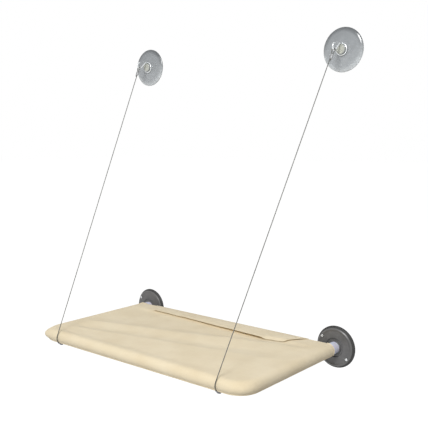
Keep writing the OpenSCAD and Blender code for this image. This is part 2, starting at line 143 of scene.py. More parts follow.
def rampBetween(tree, source, low, high, start=noiseRange[0], end=noiseRange[1]):
    ramp = addNode(tree, "ValToRGB", links={"Fac": source})
    ramp.color_ramp.elements[0].position = start
    ramp.color_ramp.elements[0].color = low
    ramp.color_ramp.elements[1].position = end
    ramp.color_ramp.elements[1].color = high
    return ramp.outputs["Color"]


def addBump(tree, shader, height, strength, depthMm):
    bump = addNode(tree, "Bump", {"Strength": strength, "Distance": depthMm * mm}, {"Height": height})
    tree.links.new(bump.outputs["Normal"], shader.inputs["Normal"])


def makeCanvas(name, base, dull):
    # Cotton canvas, plain woven: matt and slightly fuzzy, with thick and thin yarns both ways.
    # Real yarn is about 0.5 mm apart; it is drawn 1 mm apart so that the weave shows at all.
    yarnMm, slubMm, cloudMm = 1.0, 9.0, 60
    slubTone, slubHeight = 0.35, 0.8
    toneRange, bump = (0.45, 1.15), (0.55, 0.25)
    # The scale at which a wave texture has two bands a unit
    twoBands = math.pi / 5
    made, tree, shader = startMaterial(name, Roughness=0.86, Sheen_Weight=0.12, Sheen_Roughness=0.5,
                                       Specular_IOR_Level=0.25)
    place = addNode(tree, "UVMap", {"uv_map": "cloth"}).outputs["UV"]
    yarns = addNode(tree, "VectorMath", {"operation": "SCALE", "Scale": 1 / (2 * yarnMm * mm)},
                    {0: place}).outputs["Vector"]
    warp = addNode(tree, "TexWave", {"bands_direction": "X", "Scale": twoBands}, {"Vector": yarns})
    weft = addNode(tree, "TexWave", {"bands_direction": "Y", "Scale": twoBands}, {"Vector": yarns})
    over = addNode(tree, "TexChecker", {"Scale": 2.0, "Color1": (1, 1, 1, 1), "Color2": (0, 0, 0, 1)},
                   {"Vector": yarns})
    weave = addNode(tree, "Mix", {"data_type": "FLOAT"},
                    {0: over.outputs["Fac"], 2: warp.outputs["Fac"], 3: weft.outputs["Fac"]})
    streaks = []
    for stretch in ((1.0, 0.08, 1.0), (0.08, 1.0, 1.0)):
        turned = addNode(tree, "Mapping", {"Scale": stretch}, {"Vector": place})
        streaks.append(addNode(tree, "TexNoise", {"Scale": 1 / (slubMm * 0.2 * mm), "Detail": 3.0},
                               {"Vector": turned.outputs["Vector"]}).outputs["Fac"])
    slubs = addNode(tree, "Math", {"operation": "ADD"}, {0: streaks[0], 1: streaks[1]})
    cloudy = addNode(tree, "TexNoise", {"Scale": 1 / (cloudMm * mm), "Detail": 2.0}, {"Vector": place})
    tone = addNode(tree, "Math", {"operation": "MULTIPLY_ADD", 1: slubTone},
                   {0: slubs.outputs[0], 2: cloudy.outputs["Fac"]})
    colour = rampBetween(tree, tone.outputs[0], linear(dull), linear(base), *toneRange)
    tree.links.new(colour, shader.inputs["Base Color"])
    height = addNode(tree, "Math", {"operation": "MULTIPLY_ADD", 1: slubHeight},
                     {0: slubs.outputs[0], 2: weave.outputs[0]})
    addBump(tree, shader, height.outputs[0], *bump)
    return made


def makeGrained(name, dark, light, clouds, grain, bump, worn=None, **sockets):
    # clouds and grain are (size in mm, detail), bump is (strength, depth in mm) and worn is how far the
    # roughness goes down and up
    made, tree, shader = startMaterial(name, **sockets)
    place = addNode(tree, "TexCoord").outputs["Object"]
    patches, fine = (addNode(tree, "TexNoise", {"Scale": 1 / (sizeMm * mm), "Detail": detail},
                             {"Vector": place}).outputs["Fac"] for sizeMm, detail in (clouds, grain))
    colour = rampBetween(tree, patches, linear(dark), linear(light))
    tree.links.new(colour, shader.inputs["Base Color"])
    addBump(tree, shader, fine, *bump)
    if worn:
        least, most = (sockets["Roughness"] + change for change in worn)
        wear = addNode(tree, "MapRange", {"From Min": noiseRange[0], "From Max": noiseRange[1],
                                          "To Min": least, "To Max": most}, {"Value": patches})
        tree.links.new(wear.outputs[0], shader.inputs["Roughness"])
    return made


def makeCupPvc():
    # Plasticised PVC, moulded: clear with a grey cast, glossy, a little cloudy where it is thick.
    # Its rim has painted light below and painted shade above, and its body is painted darker towards the top,
    # as the studio light doesn't give them; the cream cast of its thick neck is drawn too.
    rimMm, neckMm, shadeReachMm = (28.0, 37.5), (6.5, 9.5), 38.0
    cloudMm, blotchShare, bump = 14, 0.5, (0.1, 0.2)
    made, tree, shader = startMaterial("clearPvcMoulded", Roughness=0.2, IOR=1.52, Transmission_Weight=0.4)
    place = addNode(tree, "TexCoord").outputs["Object"]
    clouds = addNode(tree, "TexNoise", {"Scale": 1 / (cloudMm * mm), "Detail": 2.0}, {"Vector": place})
    parts = addNode(tree, "SeparateXYZ", links={0: place})
    # Painted shade: this level rises with height, so the cup is painted darker towards the top
    upward = addNode(tree, "MapRange", {"From Min": -shadeReachMm * mm, "From Max": shadeReachMm * mm},
                     {"Value": parts.outputs["Z"]})
    flat = addNode(tree, "VectorMath", {"operation": "MULTIPLY", 1: (1, 0, 1)}, {0: place})
    radius = addNode(tree, "VectorMath", {"operation": "LENGTH"}, {0: flat.outputs["Vector"]})
    rim = addNode(tree, "MapRange", {"interpolation_type": "SMOOTHSTEP", "From Min": rimMm[0] * mm,
                                     "From Max": rimMm[1] * mm}, {"Value": radius.outputs["Value"]})
    blotch = addNode(tree, "Math", {"operation": "MULTIPLY_ADD", 1: blotchShare, 2: -blotchShare / 2},
                     {0: clouds.outputs["Fac"]})
    level = addNode(tree, "Math", {"operation": "ADD"},
                    {0: upward.outputs[0], 1: blotch.outputs[0]}).outputs[0]
    # Painted shade on the body, darker towards the top; painted light and shade on the rim, light below and
    # dark above
    body = rampBetween(tree, level, linear("#B5B9BC"), linear("#9DA1A4"), 0.2, 0.85)
    edge = rampBetween(tree, level, linear("#D9DDDF"), linear("#686C6F"), 0.21, 0.78)
    outer = addNode(tree, "Mix", {"data_type": "RGBA"}, {0: rim.outputs[0], 6: body, 7: edge})
    neck = addNode(tree, "MapRange", {"interpolation_type": "SMOOTHSTEP", "From Min": neckMm[0] * mm,
                                      "From Max": neckMm[1] * mm}, {"Value": radius.outputs["Value"]})
    colour = addNode(tree, "Mix", {"data_type": "RGBA", 6: linear("#CDCFC4")},
                     {0: neck.outputs[0], 7: outer.outputs[2]})
    tree.links.new(colour.outputs[2], shader.inputs["Base Color"])
    addBump(tree, shader, clouds.outputs["Fac"], *bump)
    return made


def makeMoulded(name, dark, light, roughness, grainMm, strength, ior=1.5):
    return makeGrained(name, dark, light, (14, 4), (grainMm, 2), (strength, 0.08), (-0.06, 0.08),
                       Roughness=roughness, IOR=ior)


def makeMetal(name, dark, light, roughness, grainMm, strength):
    return makeGrained(name, dark, light, (grainMm, 3), (grainMm, 3), (strength, 0.05),
                       Metallic=1.0, Roughness=roughness)


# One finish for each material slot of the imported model, and the sewing thread
finish = {
    "canvas": makeCanvas("cottonCanvasWoven", "#EDDFC1", "#E2D1AF"),
    # Unplasticised PVC, extruded: white with a cold cast, semi-gloss, with faint scuffs
    "pvc_pipe": makeGrained("whitePvcExtruded", "#D4D4E6", "#E2E2F0", (18, 4), (1.2, 3), (0.08, 0.05),
                            Roughness=0.32, IOR=1.53, Subsurface_Weight=0.06, Subsurface_Scale=0.004),
    # ABS, injection moulded: dark grey, satin, with a fine spark grain
    "flange_plastic": makeMoulded("greyAbsMoulded", "#565656", "#666565", 0.34, 0.9, 0.2),
    # Natural rubber, compression moulded: near black and matt
    "pad_rubber": makeMoulded("blackRubberMoulded", "#2A2A2A", "#353534", 0.62, 1.4, 0.35, 1.52),
    # Polypropylene, injection moulded: white and waxy
    "plug_plastic": makeMoulded("whitePolypropyleneMoulded", "#D9D9DE", "#E6E6EA", 0.45, 1.2, 0.2, 1.49),
    "clear_cup": makeCupPvc(),
    # Mild steel wire, bent and nickel plated: bright, with soft draw marks
    "hook_steel": makeMetal("nickelPlatedWireBent", "#CED2D4", "#E9EBEC", 0.24, 0.8, 0.1),
    # Galvanised steel wire, stranded: its zinc has gone dull and grey
    "wire_rope": makeMetal("galvanisedSteelStranded", "#585855", "#767672", 0.45, 0.6, 0.2),
    # Aluminium, pressed round the rope: soft and slightly scuffed
    "ferrule_metal": makeMetal("aluminiumCrimped", "#8B8C8D", "#A9AAAB", 0.46, 0.7, 0.3),
    # Steel, zinc plated: bright screws
    "plated_steel": makeMetal("steelZincPlated", "#C4C6C8", "#E0E2E3", 0.24, 0.5, 0.15),
    # Steel, dull zinc flake coated: grey terminal and screw under the rail
    "dark_steel": makeMetal("steelZincFlaked", "#77777A", "#97979A", 0.45, 0.5, 0.3),
    # Polyester, woven into tape: off-white, matt
    "hook_and_loop": makeMoulded("polyesterTapeWoven", "#D6CFBD", "#E2DCCB", 0.8, 0.9, 0.6),
    # Polyester thread, spun: a shade lighter than the canvas
    "thread": makeMoulded("polyesterThreadSpun", "#E6DABD", "#EFE5CC", 0.7, 0.4, 0.3),
}
print("materials made")


# Mesh helpers


def dress(piece, slot, body, *stoodFor, look=None):
    # Gives a piece its finish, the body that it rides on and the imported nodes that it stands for
    piece.data.materials.clear()
    piece.data.materials.append(finish[look or slot])
    if body:
        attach(piece, body)
    if stoodFor:
        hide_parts(*stoodFor)
    return piece


def meshPiece(name, points, faces, smooth=True):
    data = bpy.data.meshes.new(name)
    data.from_pydata([tuple(p) for p in points], [], faces)
    data.validate()
    piece = bpy.data.objects.new(name, data)
    scene.collection.objects.link(piece)
    if smooth:
        data.shade_smooth()
    return piece


def fixNormals(piece, merge=True):
    mesh = bmesh.new()
    mesh.from_mesh(piece.data)
    if merge:
        bmesh.ops.remove_doubles(mesh, verts=mesh.verts, dist=0.001 * mm)
    bmesh.ops.recalc_face_normals(mesh, faces=mesh.faces)
    mesh.to_mesh(piece.data)
    mesh.free()
    return piece


def addOn(points, faces, more, some):
    start = len(points)
    points += more
    faces += [tuple(start + k for k in face) for face in some]


def ringFaces(rings, count, closedRing=True, closedRun=False, offset=0):
    faces = []
    runs = rings if closedRun else rings - 1
    steps = count if closedRing else count - 1
    for i in range(runs):
        j = (i + 1) % rings
        for k in range(steps):
            m = (k + 1) % count
            faces.append((offset + i * count + k, offset + i * count + m,
                          offset + j * count + m, offset + j * count + k))
    return faces


def framesAlong(path, closed=False):
    # Turns as little as it can from point to point, so that a swept section doesn't spin
    count = len(path)
    tangents = []
    for i in range(count):
        before = path[i - 1] if i > 0 or closed else path[i]
        after = path[(i + 1) % count] if i < count - 1 or closed else path[i]
        tangents.append((after - before).normalized())
    first = tangents[0].orthogonal().normalized()
    frames = []
    for i, tangent in enumerate(tangents):
        if i:
            first = tangents[i - 1].rotation_difference(tangent) @ first
        first = (first - tangent * first.dot(tangent)).normalized()
        frames.append((tangent, first, tangent.cross(first)))
    return frames


def sweep(path, section, closed=False):
    # section(i) gives the ring's points at place i as (across, up) pairs
    frames = framesAlong(path, closed)
    points, count = [], 0
    for i, centre in enumerate(path):
        ring = section(i)
        count = len(ring)
        _, across, upward = frames[i]
        points += [centre + across * a + upward * b for a, b in ring]
    faces = ringFaces(len(path), count, True, closed)
    if not closed:
        faces.append(tuple(reversed(range(count))))
        faces.append(tuple(len(points) - count + k for k in range(count)))
    return points, faces


def circle(radius, count):
    turns = [2 * math.pi * k / count for k in range(count)]
    return [(radius * math.cos(turn), radius * math.sin(turn)) for turn in turns]


def roundSection(radius, count):
    ring = circle(radius, count)
    return lambda i: ring


def arc(centre, radius, start, end, count, flat):
    # Points on an arc in a plane given by two axes, with angles in degrees
    across, upward = flat
    turns = [math.radians(start + (end - start) * k / count) for k in range(count + 1)]
    return [centre + radius * (math.cos(t) * across + math.sin(t) * upward) for t in turns]


def evenPath(corners, step, rounder=int):
    # Points about a step apart along a polyline
    path = []
    for a, b in zip(corners, corners[1:]):
        count = max(1, rounder((b - a).length / step))
        path += [a.lerp(b, k / count) for k in range(count)]
    return path + [corners[-1]]


def roundCorner(start, corner, end, count):
    shares = [k / count for k in range(count + 1)]
    return [(1 - t) ** 2 * start + 2 * t * (1 - t) * corner + t ** 2 * end for t in shares]


def softenPath(corners, reach, count):
    # Rounds each corner of a polyline over a length that is the same on both sides
    path = [corners[0]]
    for before, corner, after in zip(corners, corners[1:], corners[2:]):
        start = corner + (before - corner).normalized() * reach
        end = corner + (after - corner).normalized() * reach
        path += roundCorner(start, corner, end, count)
    path.append(corners[-1])
    return path


def roundedProfile(corners, steps=4, mostCut=0.48):
    # corners are (radius, depth, rounding) in millimetres; rounding 0 keeps the corner sharp
    corners = [(r * mm, y * mm, rounding * mm) for r, y, rounding in corners]
    line = []
    for i, (r, y, rounding) in enumerate(corners):
        here = Vector((r, y))
        if rounding <= 0 or i in (0, len(corners) - 1):
            line.append(here)
            continue
        before = Vector(corners[i - 1][:2]) - here
        after = Vector(corners[i + 1][:2]) - here
        cut = min(rounding, before.length * mostCut, after.length * mostCut)
        start, end = here + before.normalized() * cut, here + after.normalized() * cut
        line += roundCorner(start, here, end, steps)
    return line


def revolve(name, corners, centre, around):
    # Turns a profile round an axis that runs along Y; depth counts from the glass into the room
    line = roundedProfile(corners)
    points, faces = [], []
    onAxis = [p.x < 1e-6 for p in line]
    starts = []
    for p, single in zip(line, onAxis):
        starts.append(len(points))
        for k in range(1 if single else around):
            turn = 2 * math.pi * k / around
            points.append(Vector((p.x * math.cos(turn), -p.y, p.x * math.sin(turn))))
    for i in range(len(line) - 1):
        for k in range(around):
            m = (k + 1) % around
            a, b = starts[i], starts[i + 1]
            if onAxis[i] and onAxis[i + 1]:
                continue
            if onAxis[i]:
                faces.append((a, b + k, b + m))
            elif onAxis[i + 1]:
                faces.append((a + k, b, a + m))
            else:
                faces.append((a + k, b + k, b + m, a + m))
    piece = fixNormals(meshPiece(name, points, faces))
    piece.location = centre
    return piece


# Canvas cover: a flat bag round the frame, whose panels hang between the rails
cover = {
    "across": 112,
    "deep": 62,
    "round": 12,
    "thick": 0.65 * mm,
    "cuffTop": 26 * mm,
    "cuffBottom": 17 * mm,
    "cuffSide": 11 * mm,
    "cuffLeast": 0.4 * mm,
    "mouthHalf": 178 * mm,
    "mouthMiddle": -2 * mm,
    "mouthTurns": 2,
    # Rows of the panels: shares of the way from the front rail to the hook strip at the left end and at
    # the right end, dips of the top and bottom panels, and how far behind, with lengths in millimetres
    "rows": [(0, 0, 0, 0, 0), (0.073, 0.073, 1.2, 1.6, 0), (0.132, 0.568, 0.2, 2.6, 0),
             (0.191, 0.632, 4.2, 3.4, 4), (0.355, 0.905, -1.5, 4.0, 0), (0.355, 0.905, 1.7, 4.0, 13),
             (0.355, 0.905, 3.8, 4.0, 38), (0.586, 0.955, 3.8, 3.6, 3), (1, 1, 2.8, 2.4, -8),
             (1, 1, 0, 2.0, 0), (1, 1, 0, 1.4, 16), (1, 1, 0, 0, 30)],
    "rowGap": 1.5 * mm,
    "tautRows": (2, 4),
    "stripRow": 9,
    "stripFront": -58 * mm,
    "edgeWide": 50 * mm,
    "edgeEase": 0.6,
    # A nip behind the front rail at the left end: place across, how far behind, widths and depth
    "nip": (-176 * mm, 11 * mm, 30 * mm, 5 * mm, 1.3 * mm),
    # The rear taut line bows back towards the right end, and both flatten there
    "bow": (130 * mm, 70 * mm, 15 * mm),
    "flatter": (60 * mm, 190 * mm, 0.55),
    "crispness": 0.3,
    # Ripples run along the taut lines, which lean 15 degrees: cosine and sine, length, width, then the
    # size of a finer drift and its share, and the levels in the noise that the two are cut at
    "ripple": 0.3 * mm,
    "lean": (0.966, 0.259),
    "rippleSize": (150 * mm, 22 * mm),
    "driftSize": 45 * mm,
    "driftShare": 0.8,
    "levels": (3.1, 1 * mm),
    "calmEdge": 30 * mm,
    "calmBehind": 6 * mm,
    "bottomWave": (0.6 * mm, 55 * mm),
    "rearWave": (0.4 * mm, 30 * mm),
    # The simulation: how many frames, how far a point may move, how firmly the taut lines hold, how far
    # in the front rail, the side rails and the strip hold fast, and what is too weak to count
    "frames": 30,
    "mostMove": 0.8 * mm,
    "tautHold": (0.35, 5 * mm),
    "edgeHold": (0.4 * pipeR, 0.5 * pipeR, 1 * mm),
    "leastHold": 0.02,
    "weave": {"quality": 6, "mass": 0.2, "tension_stiffness": 80, "compression_stiffness": 80,
              "shear_stiffness": 40, "bending_stiffness": 4, "pin_stiffness": 2},
    "gravity": 0.12,
    # Loose cloth at the front corners, left and right, and where round the corner it lies
    "ears": {"left": 7.5 * mm, "right": 2 * mm},
    "earAngle": (47, 21),
    "earPower": 1.5,
    # Small gathers round the bends: how high, how many to a turn, how they fade out along the bend, slant
    # and fade out round the pipe
    "gather": 0.45 * mm,
    "gathersRound": 26,
    "gatherForm": (0.7, 3, 0.8),
    # A dent with lips under each cable
    "dent": {"wide": 4 * mm, "deep": 0.45 * mm, "lip": 0.25 * mm, "lipAt": 2.2, "lipWide": 0.9,
             "behind": 5 * mm},
    "drift": (0.5 * mm, 38 * mm, 12 * mm),
    "cuffSteps": 3,
}


def smoothStep(t):
    t = min(1.0, max(0.0, t))
    return t * t * (3 - 2 * t)


def edgeLine():
    # The cover's plan, as points with their outward directions: left side, front, right side
    corner = bendR * math.pi / 4
    sideRun = (rearY - frontY - bendR) + corner
    frontRun = 2 * (sideX - bendR) + 2 * corner
    left, front, right = [], [], []
    for j in range(cover["deep"] + 1):
        s = sideRun * (1 - j / cover["deep"])
        if s <= sideRun - corner:
            place, out = Vector((-sideX, rearY - s, 0)), Vector((-1, 0, 0))
        else:
            turn = (s - (sideRun - corner)) / bendR
            out = Vector((-math.cos(turn), -math.sin(turn), 0))
            place = Vector((-sideX + bendR, frontY + bendR, 0)) + bendR * out
        left.append((place, out))
        right.append((Vector((-place.x, place.y, 0)), Vector((-out.x, out.y, 0))))
    for i in range(cover["across"] + 1):
        s = frontRun * i / cover["across"] - frontRun / 2
        straight = sideX - bendR
        if abs(s) <= straight:
            place, out = Vector((s, frontY, 0)), Vector((0, -1, 0))
        else:
            turn = (abs(s) - straight) / bendR
            out = Vector((math.copysign(math.sin(turn), s), -math.cos(turn), 0))
            place = Vector((math.copysign(straight, s), frontY + bendR, 0)) + bendR * out
        front.append((place, out))
    return left, front, right


def panelGrid(left, front, right):
    # A surface patch between the four edges, in rows from the front edge to the rear rail
    rows = []
    nAcross, nDeep = cover["across"], cover["deep"]
    rearEdge = [Vector((-sideX + 2 * sideX * i / nAcross, rearY, 0)) for i in range(nAcross + 1)]
    for j in range(nDeep + 1):
        v = j / nDeep
        row = []
        for i in range(nAcross + 1):
            u = i / nAcross
            flat = (front[i][0] * (1 - v) + rearEdge[i] * v + left[j][0] * (1 - u) + right[j][0] * u
                    - (front[0][0] * (1 - u) * (1 - v) + front[-1][0] * u * (1 - v)
                       + rearEdge[0] * (1 - u) * v + rearEdge[-1] * u * v))
            row.append(flat)
        rows.append(row)
    return rows


def railLine(x):
    # Where the front rail's axis runs at a place across, with its bends
    past = abs(x) - (sideX - bendR)
    return frontY if past <= 0 else frontY + bendR - math.sqrt(max(0, bendR ** 2 - past ** 2))


def hump(distance, width):
    return math.exp(-(distance / width) ** 2)


def rowPlaces(x):
    share = (x + sideX) / (2 * sideX)
    front = railLine(x)
    middle, wide, reach = cover["bow"]
    places = []
    for left, right, top, bottom, behind in cover["rows"]:
        y = front + (cover["stripFront"] - front) * (left + (right - left) * share) + behind * mm
        if top < 0:
            y += reach * hump(x - middle, wide)
        places.append([y, top * mm, bottom * mm])
    for here, after in reversed(list(zip(places, places[1:]))):
        here[0] = min(here[0], after[0] - cover["rowGap"])
    return places


def panelDip(x, y, bottomSide=False):
    # How far the panel lies inside or outside the flat plane over the rails
    places = rowPlaces(x)
    dip = 0
    for (ya, *a), (yb, *b) in zip(places, places[1:]):
        if ya <= y <= yb:
            t = (y - ya) / (yb - ya)
            t += (smoothStep(t) - t) * (1 - cover["crispness"])
            dip = a[bottomSide] + (b[bottomSide] - a[bottomSide]) * t
    side = min(1, (sideX - abs(x)) / cover["edgeWide"])
    start, end, least = cover["flatter"]
    calm = 1 - (1 - least) * smoothStep((x - start) / (end - start))
    dip *= calm * (side + (smoothStep(side) - side) * cover["edgeEase"])
    if not bottomSide:
        middle, behind, wide, narrow, depth = cover["nip"]
        dip += depth * hump(x - middle, wide) * hump(y - railLine(x) - behind, narrow)
    return dip


def panelTop(x, y):
    ahead, aside = cover["lean"]
    longWay, shortWay = cover["rippleSize"]
    along, away = x * ahead + y * aside, y * ahead - x * aside
    inside = min(sideX - abs(x), y - railLine(x) - cover["calmBehind"], cover["stripFront"] - y)
    level, driftLevel = cover["levels"]
    ripple = noise.noise(Vector((along / longWay, away / shortWay, level))) * cover["ripple"]
    drift = noise.noise(Vector((x, y, driftLevel)) / cover["driftSize"])
    ripple += drift * cover["ripple"] * cover["driftShare"]
    return coverR - panelDip(x, y) + ripple * smoothStep(inside / cover["calmEdge"])


def simulatePanel(rows):
    # Lets the top panel settle under its own weight, held along the rails and lightly on its taut lines
    nAcross, nDeep = cover["across"], cover["deep"]
    points = [Vector((p.x, p.y, panelTop(p.x, p.y))) for row in rows for p in row]
    faces = ringFaces(nDeep + 1, nAcross + 1, closedRing=False)
    sheet = meshPiece("panelSim", points, faces)
    held = sheet.vertex_groups.new(name="held")
    firm, reach = cover["tautHold"]
    byFront, bySide, byStrip = cover["edgeHold"]
    for j, row in enumerate(rows):
        for i, p in enumerate(row):
            places = rowPlaces(p.x)
            weight = max(firm * hump(p.y - places[n][0], reach) for n in cover["tautRows"])
            beyondStrip = p.y > places[cover["stripRow"]][0] - byStrip
            if p.y < places[0][0] + byFront or beyondStrip or abs(p.x) > sideX - bySide:
                weight = 1.0
            if weight > cover["leastHold"]:
                held.add([j * (nAcross + 1) + i], weight, "REPLACE")
    cloth = sheet.modifiers.new("cloth", "CLOTH")
    for key, value in cover["weave"].items():
        setattr(cloth.settings, key, value)
    cloth.settings.vertex_group_mass = "held"
    cloth.settings.effector_weights.gravity = cover["gravity"]
    cloth.collision_settings.use_collision = False
    cloth.point_cache.frame_start = 1
    cloth.point_cache.frame_end = cover["frames"]
    for step in range(1, cover["frames"] + 1):
        scene.frame_set(step)
    shape = sheet.evaluated_get(bpy.context.evaluated_depsgraph_get()).to_mesh()
    settled = []
    for vertex, start in zip(shape.vertices, points):
        move = vertex.co - start
        if move.length > cover["mostMove"]:
            move = move.normalized() * cover["mostMove"]
        settled.append(start + move)
    scene.frame_set(1)
    bpy.data.objects.remove(sheet)
    return [settled[j * (nAcross + 1):(j + 1) * (nAcross + 1)] for j in range(nDeep + 1)]


def earShare(out):
    # 1 in the middle of a front corner, 0 where the rails run straight
    angle = math.degrees(math.atan2(abs(out.x), -out.y))
    middle, spread = cover["earAngle"]
    return hump(angle - middle, spread) if 0 < angle < 90 else 0


def creaseDepth(place, out, turn):
    # Small gathers where flat cloth goes round a bend, and dents where a cable crosses the front rail
    bendShare = abs(out.x * out.y) * 2
    angle = math.atan2(out.x, -out.y) * cover["gathersRound"]
    power, slant, narrow = cover["gatherForm"]
    gathers = bendShare ** power * cover["gather"] * math.sin(angle + slant * turn) * math.cos(turn * narrow)
    pinch, dent = 0, cover["dent"]
    for side in sides.values():
        away = (place.x - side * rope["anchorX"]) / dent["wide"]
        if place.y < frontY + dent["behind"]:
            pinch -= dent["deep"] * hump(away, 1)
            pinch += dent["lip"] * hump(abs(away) - dent["lipAt"], dent["lipWide"])
    high, size, around = cover["drift"]
    drift = high * noise.noise(Vector((place.x, place.y, turn * around)) / size)
    ear = cover["ears"]["left" if place.x < 0 else "right"] * earShare(out)
    ear *= math.cos(turn) ** cover["earPower"]
    return gathers + pinch + drift + ear


def addPatch(mesh, layer, grid, marks, keep=None):
    made = [[mesh.verts.new(p) for p in row] for row in grid]
    for j in range(len(grid) - 1):
        for i in range(len(grid[0]) - 1):
            if keep and not keep(i, j):
                continue
            corners = ((j, i), (j, i + 1), (j + 1, i + 1), (j + 1, i))
            face = mesh.faces.new([made[a][b] for a, b in corners])
            face.smooth = True
            for loop, (a, b) in zip(face.loops, corners):
                loop[layer].uv = marks[a][b]


def clothPiece(name, mesh, thick, body, stoodFor):
    # Gives a single sheet of faces its thickness and rounds it off
    data = bpy.data.meshes.new(name)
    mesh.to_mesh(data)
    mesh.free()
    piece = bpy.data.objects.new(name, data)
    scene.collection.objects.link(piece)
    wall = piece.modifiers.new("wall", "SOLIDIFY")
    wall.thickness = thick
    wall.offset = -1
    finer = piece.modifiers.new("finer", "SUBSURF")
    finer.levels = finer.render_levels = 1
    return dress(piece, "canvas", body, stoodFor)


def buildCover():
    left, front, right = edgeLine()
    rows = panelGrid(left, front, right)
    top = simulatePanel(rows)
    nAcross, nDeep, nRound = cover["across"], cover["deep"], cover["round"]
    mesh = bmesh.new()
    layer = mesh.loops.layers.uv.new("cloth")
    plan = [[(p.x, p.y) for p in row] for row in rows]

    def inMouth(i, j):
        x = rows[nDeep][i].x
        return j == nDeep - 1 and abs(x - cover["mouthMiddle"]) < cover["mouthHalf"]

    addPatch(mesh, layer, top, plan, lambda i, j: not inMouth(i, j))
    bottom = []
    high, size = cover["bottomWave"]
    for row in rows:
        line = []
        for p in row:
            inward = min(sideX - abs(p.x), p.y - railLine(p.x), rearY - p.y)
            wave = high * noise.noise(p / size) * smoothStep(inward / cover["calmEdge"])
            line.append(Vector((p.x, p.y, -coverR - panelDip(p.x, p.y, True) + wave)))
        bottom.append(line)
    # A metre off on the cloth map, so that its streaks aren't the top's
    addPatch(mesh, layer, bottom, [[(x, y - 1) for x, y in row] for row in plan])

    # The outer half of the side and front sleeves
    edge = list(reversed(left)) + front[1:-1] + right
    turns = [math.pi / 2 - math.pi * k / nRound for k in range(nRound + 1)]
    grid, marks = [], []
    for turn in turns:
        line, flat = [], []
        for place, out in edge:
            fade = math.sqrt(max(0, math.cos(turn)))
            radius = coverR + creaseDepth(place, out, turn) * fade
            line.append(place + out * radius * math.cos(turn) + Vector((0, 0, coverR * math.sin(turn))))
            unrolled = place + out * coverR * (math.pi / 2 - turn)
            flat.append((unrolled.x, unrolled.y))
        grid.append(line)
        marks.append(flat)
    addPatch(mesh, layer, grid, marks)

    # The rear half of the rear sleeve, mitred against the side sleeves
    rearGrid, rearMarks = [], []
    high, size = cover["rearWave"]
    for turn in turns:
        line, flat = [], []
        for i in range(nAcross + 1):
            share = 2 * i / nAcross - 1
            x = share * (sideX - coverR * math.cos(turn))
            wave = high * noise.noise(Vector((x, turn * size / 2, 0)) / size) * math.cos(turn)
            radius = coverR + wave
            line.append(Vector((x, rearY + radius * math.cos(turn), radius * math.sin(turn))))
            flat.append((share * sideX, rearY + coverR * (math.pi / 2 - turn)))
        rearGrid.append(line)
        rearMarks.append(flat)

    def inRearMouth(i, k):
        return k < cover["mouthTurns"] and inMouth(i, nDeep - 1)

    addPatch(mesh, layer, rearGrid, rearMarks, lambda i, k: not inRearMouth(i, k))

    # The sleeves' last bit beyond the rear rail, cut slantwise
    hems = {}
    for name, side in sides.items():
        loopStart = []
        for turn in turns:
            loopStart.append((Vector((side * (sideX + coverR * math.cos(turn)), rearY,
                                      coverR * math.sin(turn))), turn, True))
        for k in range(nRound - 1, 0, -1):
            loopStart.append((rearGrid[k][nAcross if side > 0 else 0].copy(), turns[k], False))
        loopEnd = []
        for p, turn, outer in loopStart:
            share = (1 + math.sin(turn)) / 2
            y = -(cover["cuffBottom"] + (cover["cuffTop"] - cover["cuffBottom"]) * share)
            y -= cover["cuffSide"] * math.cos(turn) ** 2 if outer else 0
            loopEnd.append(Vector((p.x, max(y, p.y + cover["cuffLeast"]), p.z)))
        grid, marks = [], []
        steps = cover["cuffSteps"]
        for row in range(steps):
            line = [p.lerp(end, row / (steps - 1)) for (p, _, _), end in zip(loopStart, loopEnd)]
            flat = [(q.x + q.z, q.y) for q in line]
            line.append(line[0].copy())
            flat.append(flat[0])
            grid.append(line)
            marks.append(flat)
        addPatch(mesh, layer, grid, marks)
        hems[name] = loopEnd
    bmesh.ops.remove_doubles(mesh, verts=mesh.verts, dist=0.02 * mm)
    bmesh.ops.recalc_face_normals(mesh, faces=mesh.faces)
    buildSeams(clothPiece("canvasCover", mesh, cover["thick"], "root", "cover"), edge, hems)


# Rear flap: a hemmed piece of canvas over the rear rail, which closes the bag with hook and loop
flap = {
    "rootHalf": 188 * mm,
    "rootTurn": 60,
    "rootR": 11.9 * mm,
    "under": 13.3 * mm,
    "riseEnd": 12 * mm,
    "thick": 0.65 * mm,
    # The share of the depth that bends over the rail, and the hem with its ridge, its stitched dent and
    # how far in the stitches lie
    "bend": 0.16,
    "hem": 9 * mm,
    "ridge": 0.3 * mm,
    "hemStep": 1 * mm,
    "dent": 0.16 * mm,
    "dentWide": 0.7 * mm,
    "stitchIn": 7.6 * mm,
    # Waves: how high, long and wide, and the level in the noise that they are cut at
    "wave": (0.45 * mm, 28 * mm, 40 * mm, 5.0),
    # Past the tape the edge hangs a little above the panel, and lies on it right of this place
    "closeFrom": (118 * mm, 10 * mm, 0.12),
    "above": (0.35 * mm, 0.25 * mm),
    # The free edge from left to right, as places of its corners
    "edge": [(-163, -61), (-120, -62.5), (-89, -63.5), (-33, -66.5), (19, -69.5), (122, -74.5), (129, -71.5),
             (146, -69.5), (163, -66.5)],
    "cornerEase": 0.5,
    # Beyond the tapes the right end drapes down: where it starts, over how far, what it keeps clear and
    # at which share of the depth it is all down
    "drape": (158 * mm, 9 * mm, 1.6 * mm, 0.5),
    "across": 110,
    "deep": 22,
    # How the rows close up, and the columns: the least share of the even spacing and a power
    "rowsClose": 0.9,
    "columnsClose": (0.25, 0.2),
    "cut": 53 * mm,
    "weaveDeep": 60 * mm,
    "stitchSteps": (16, 60),
}

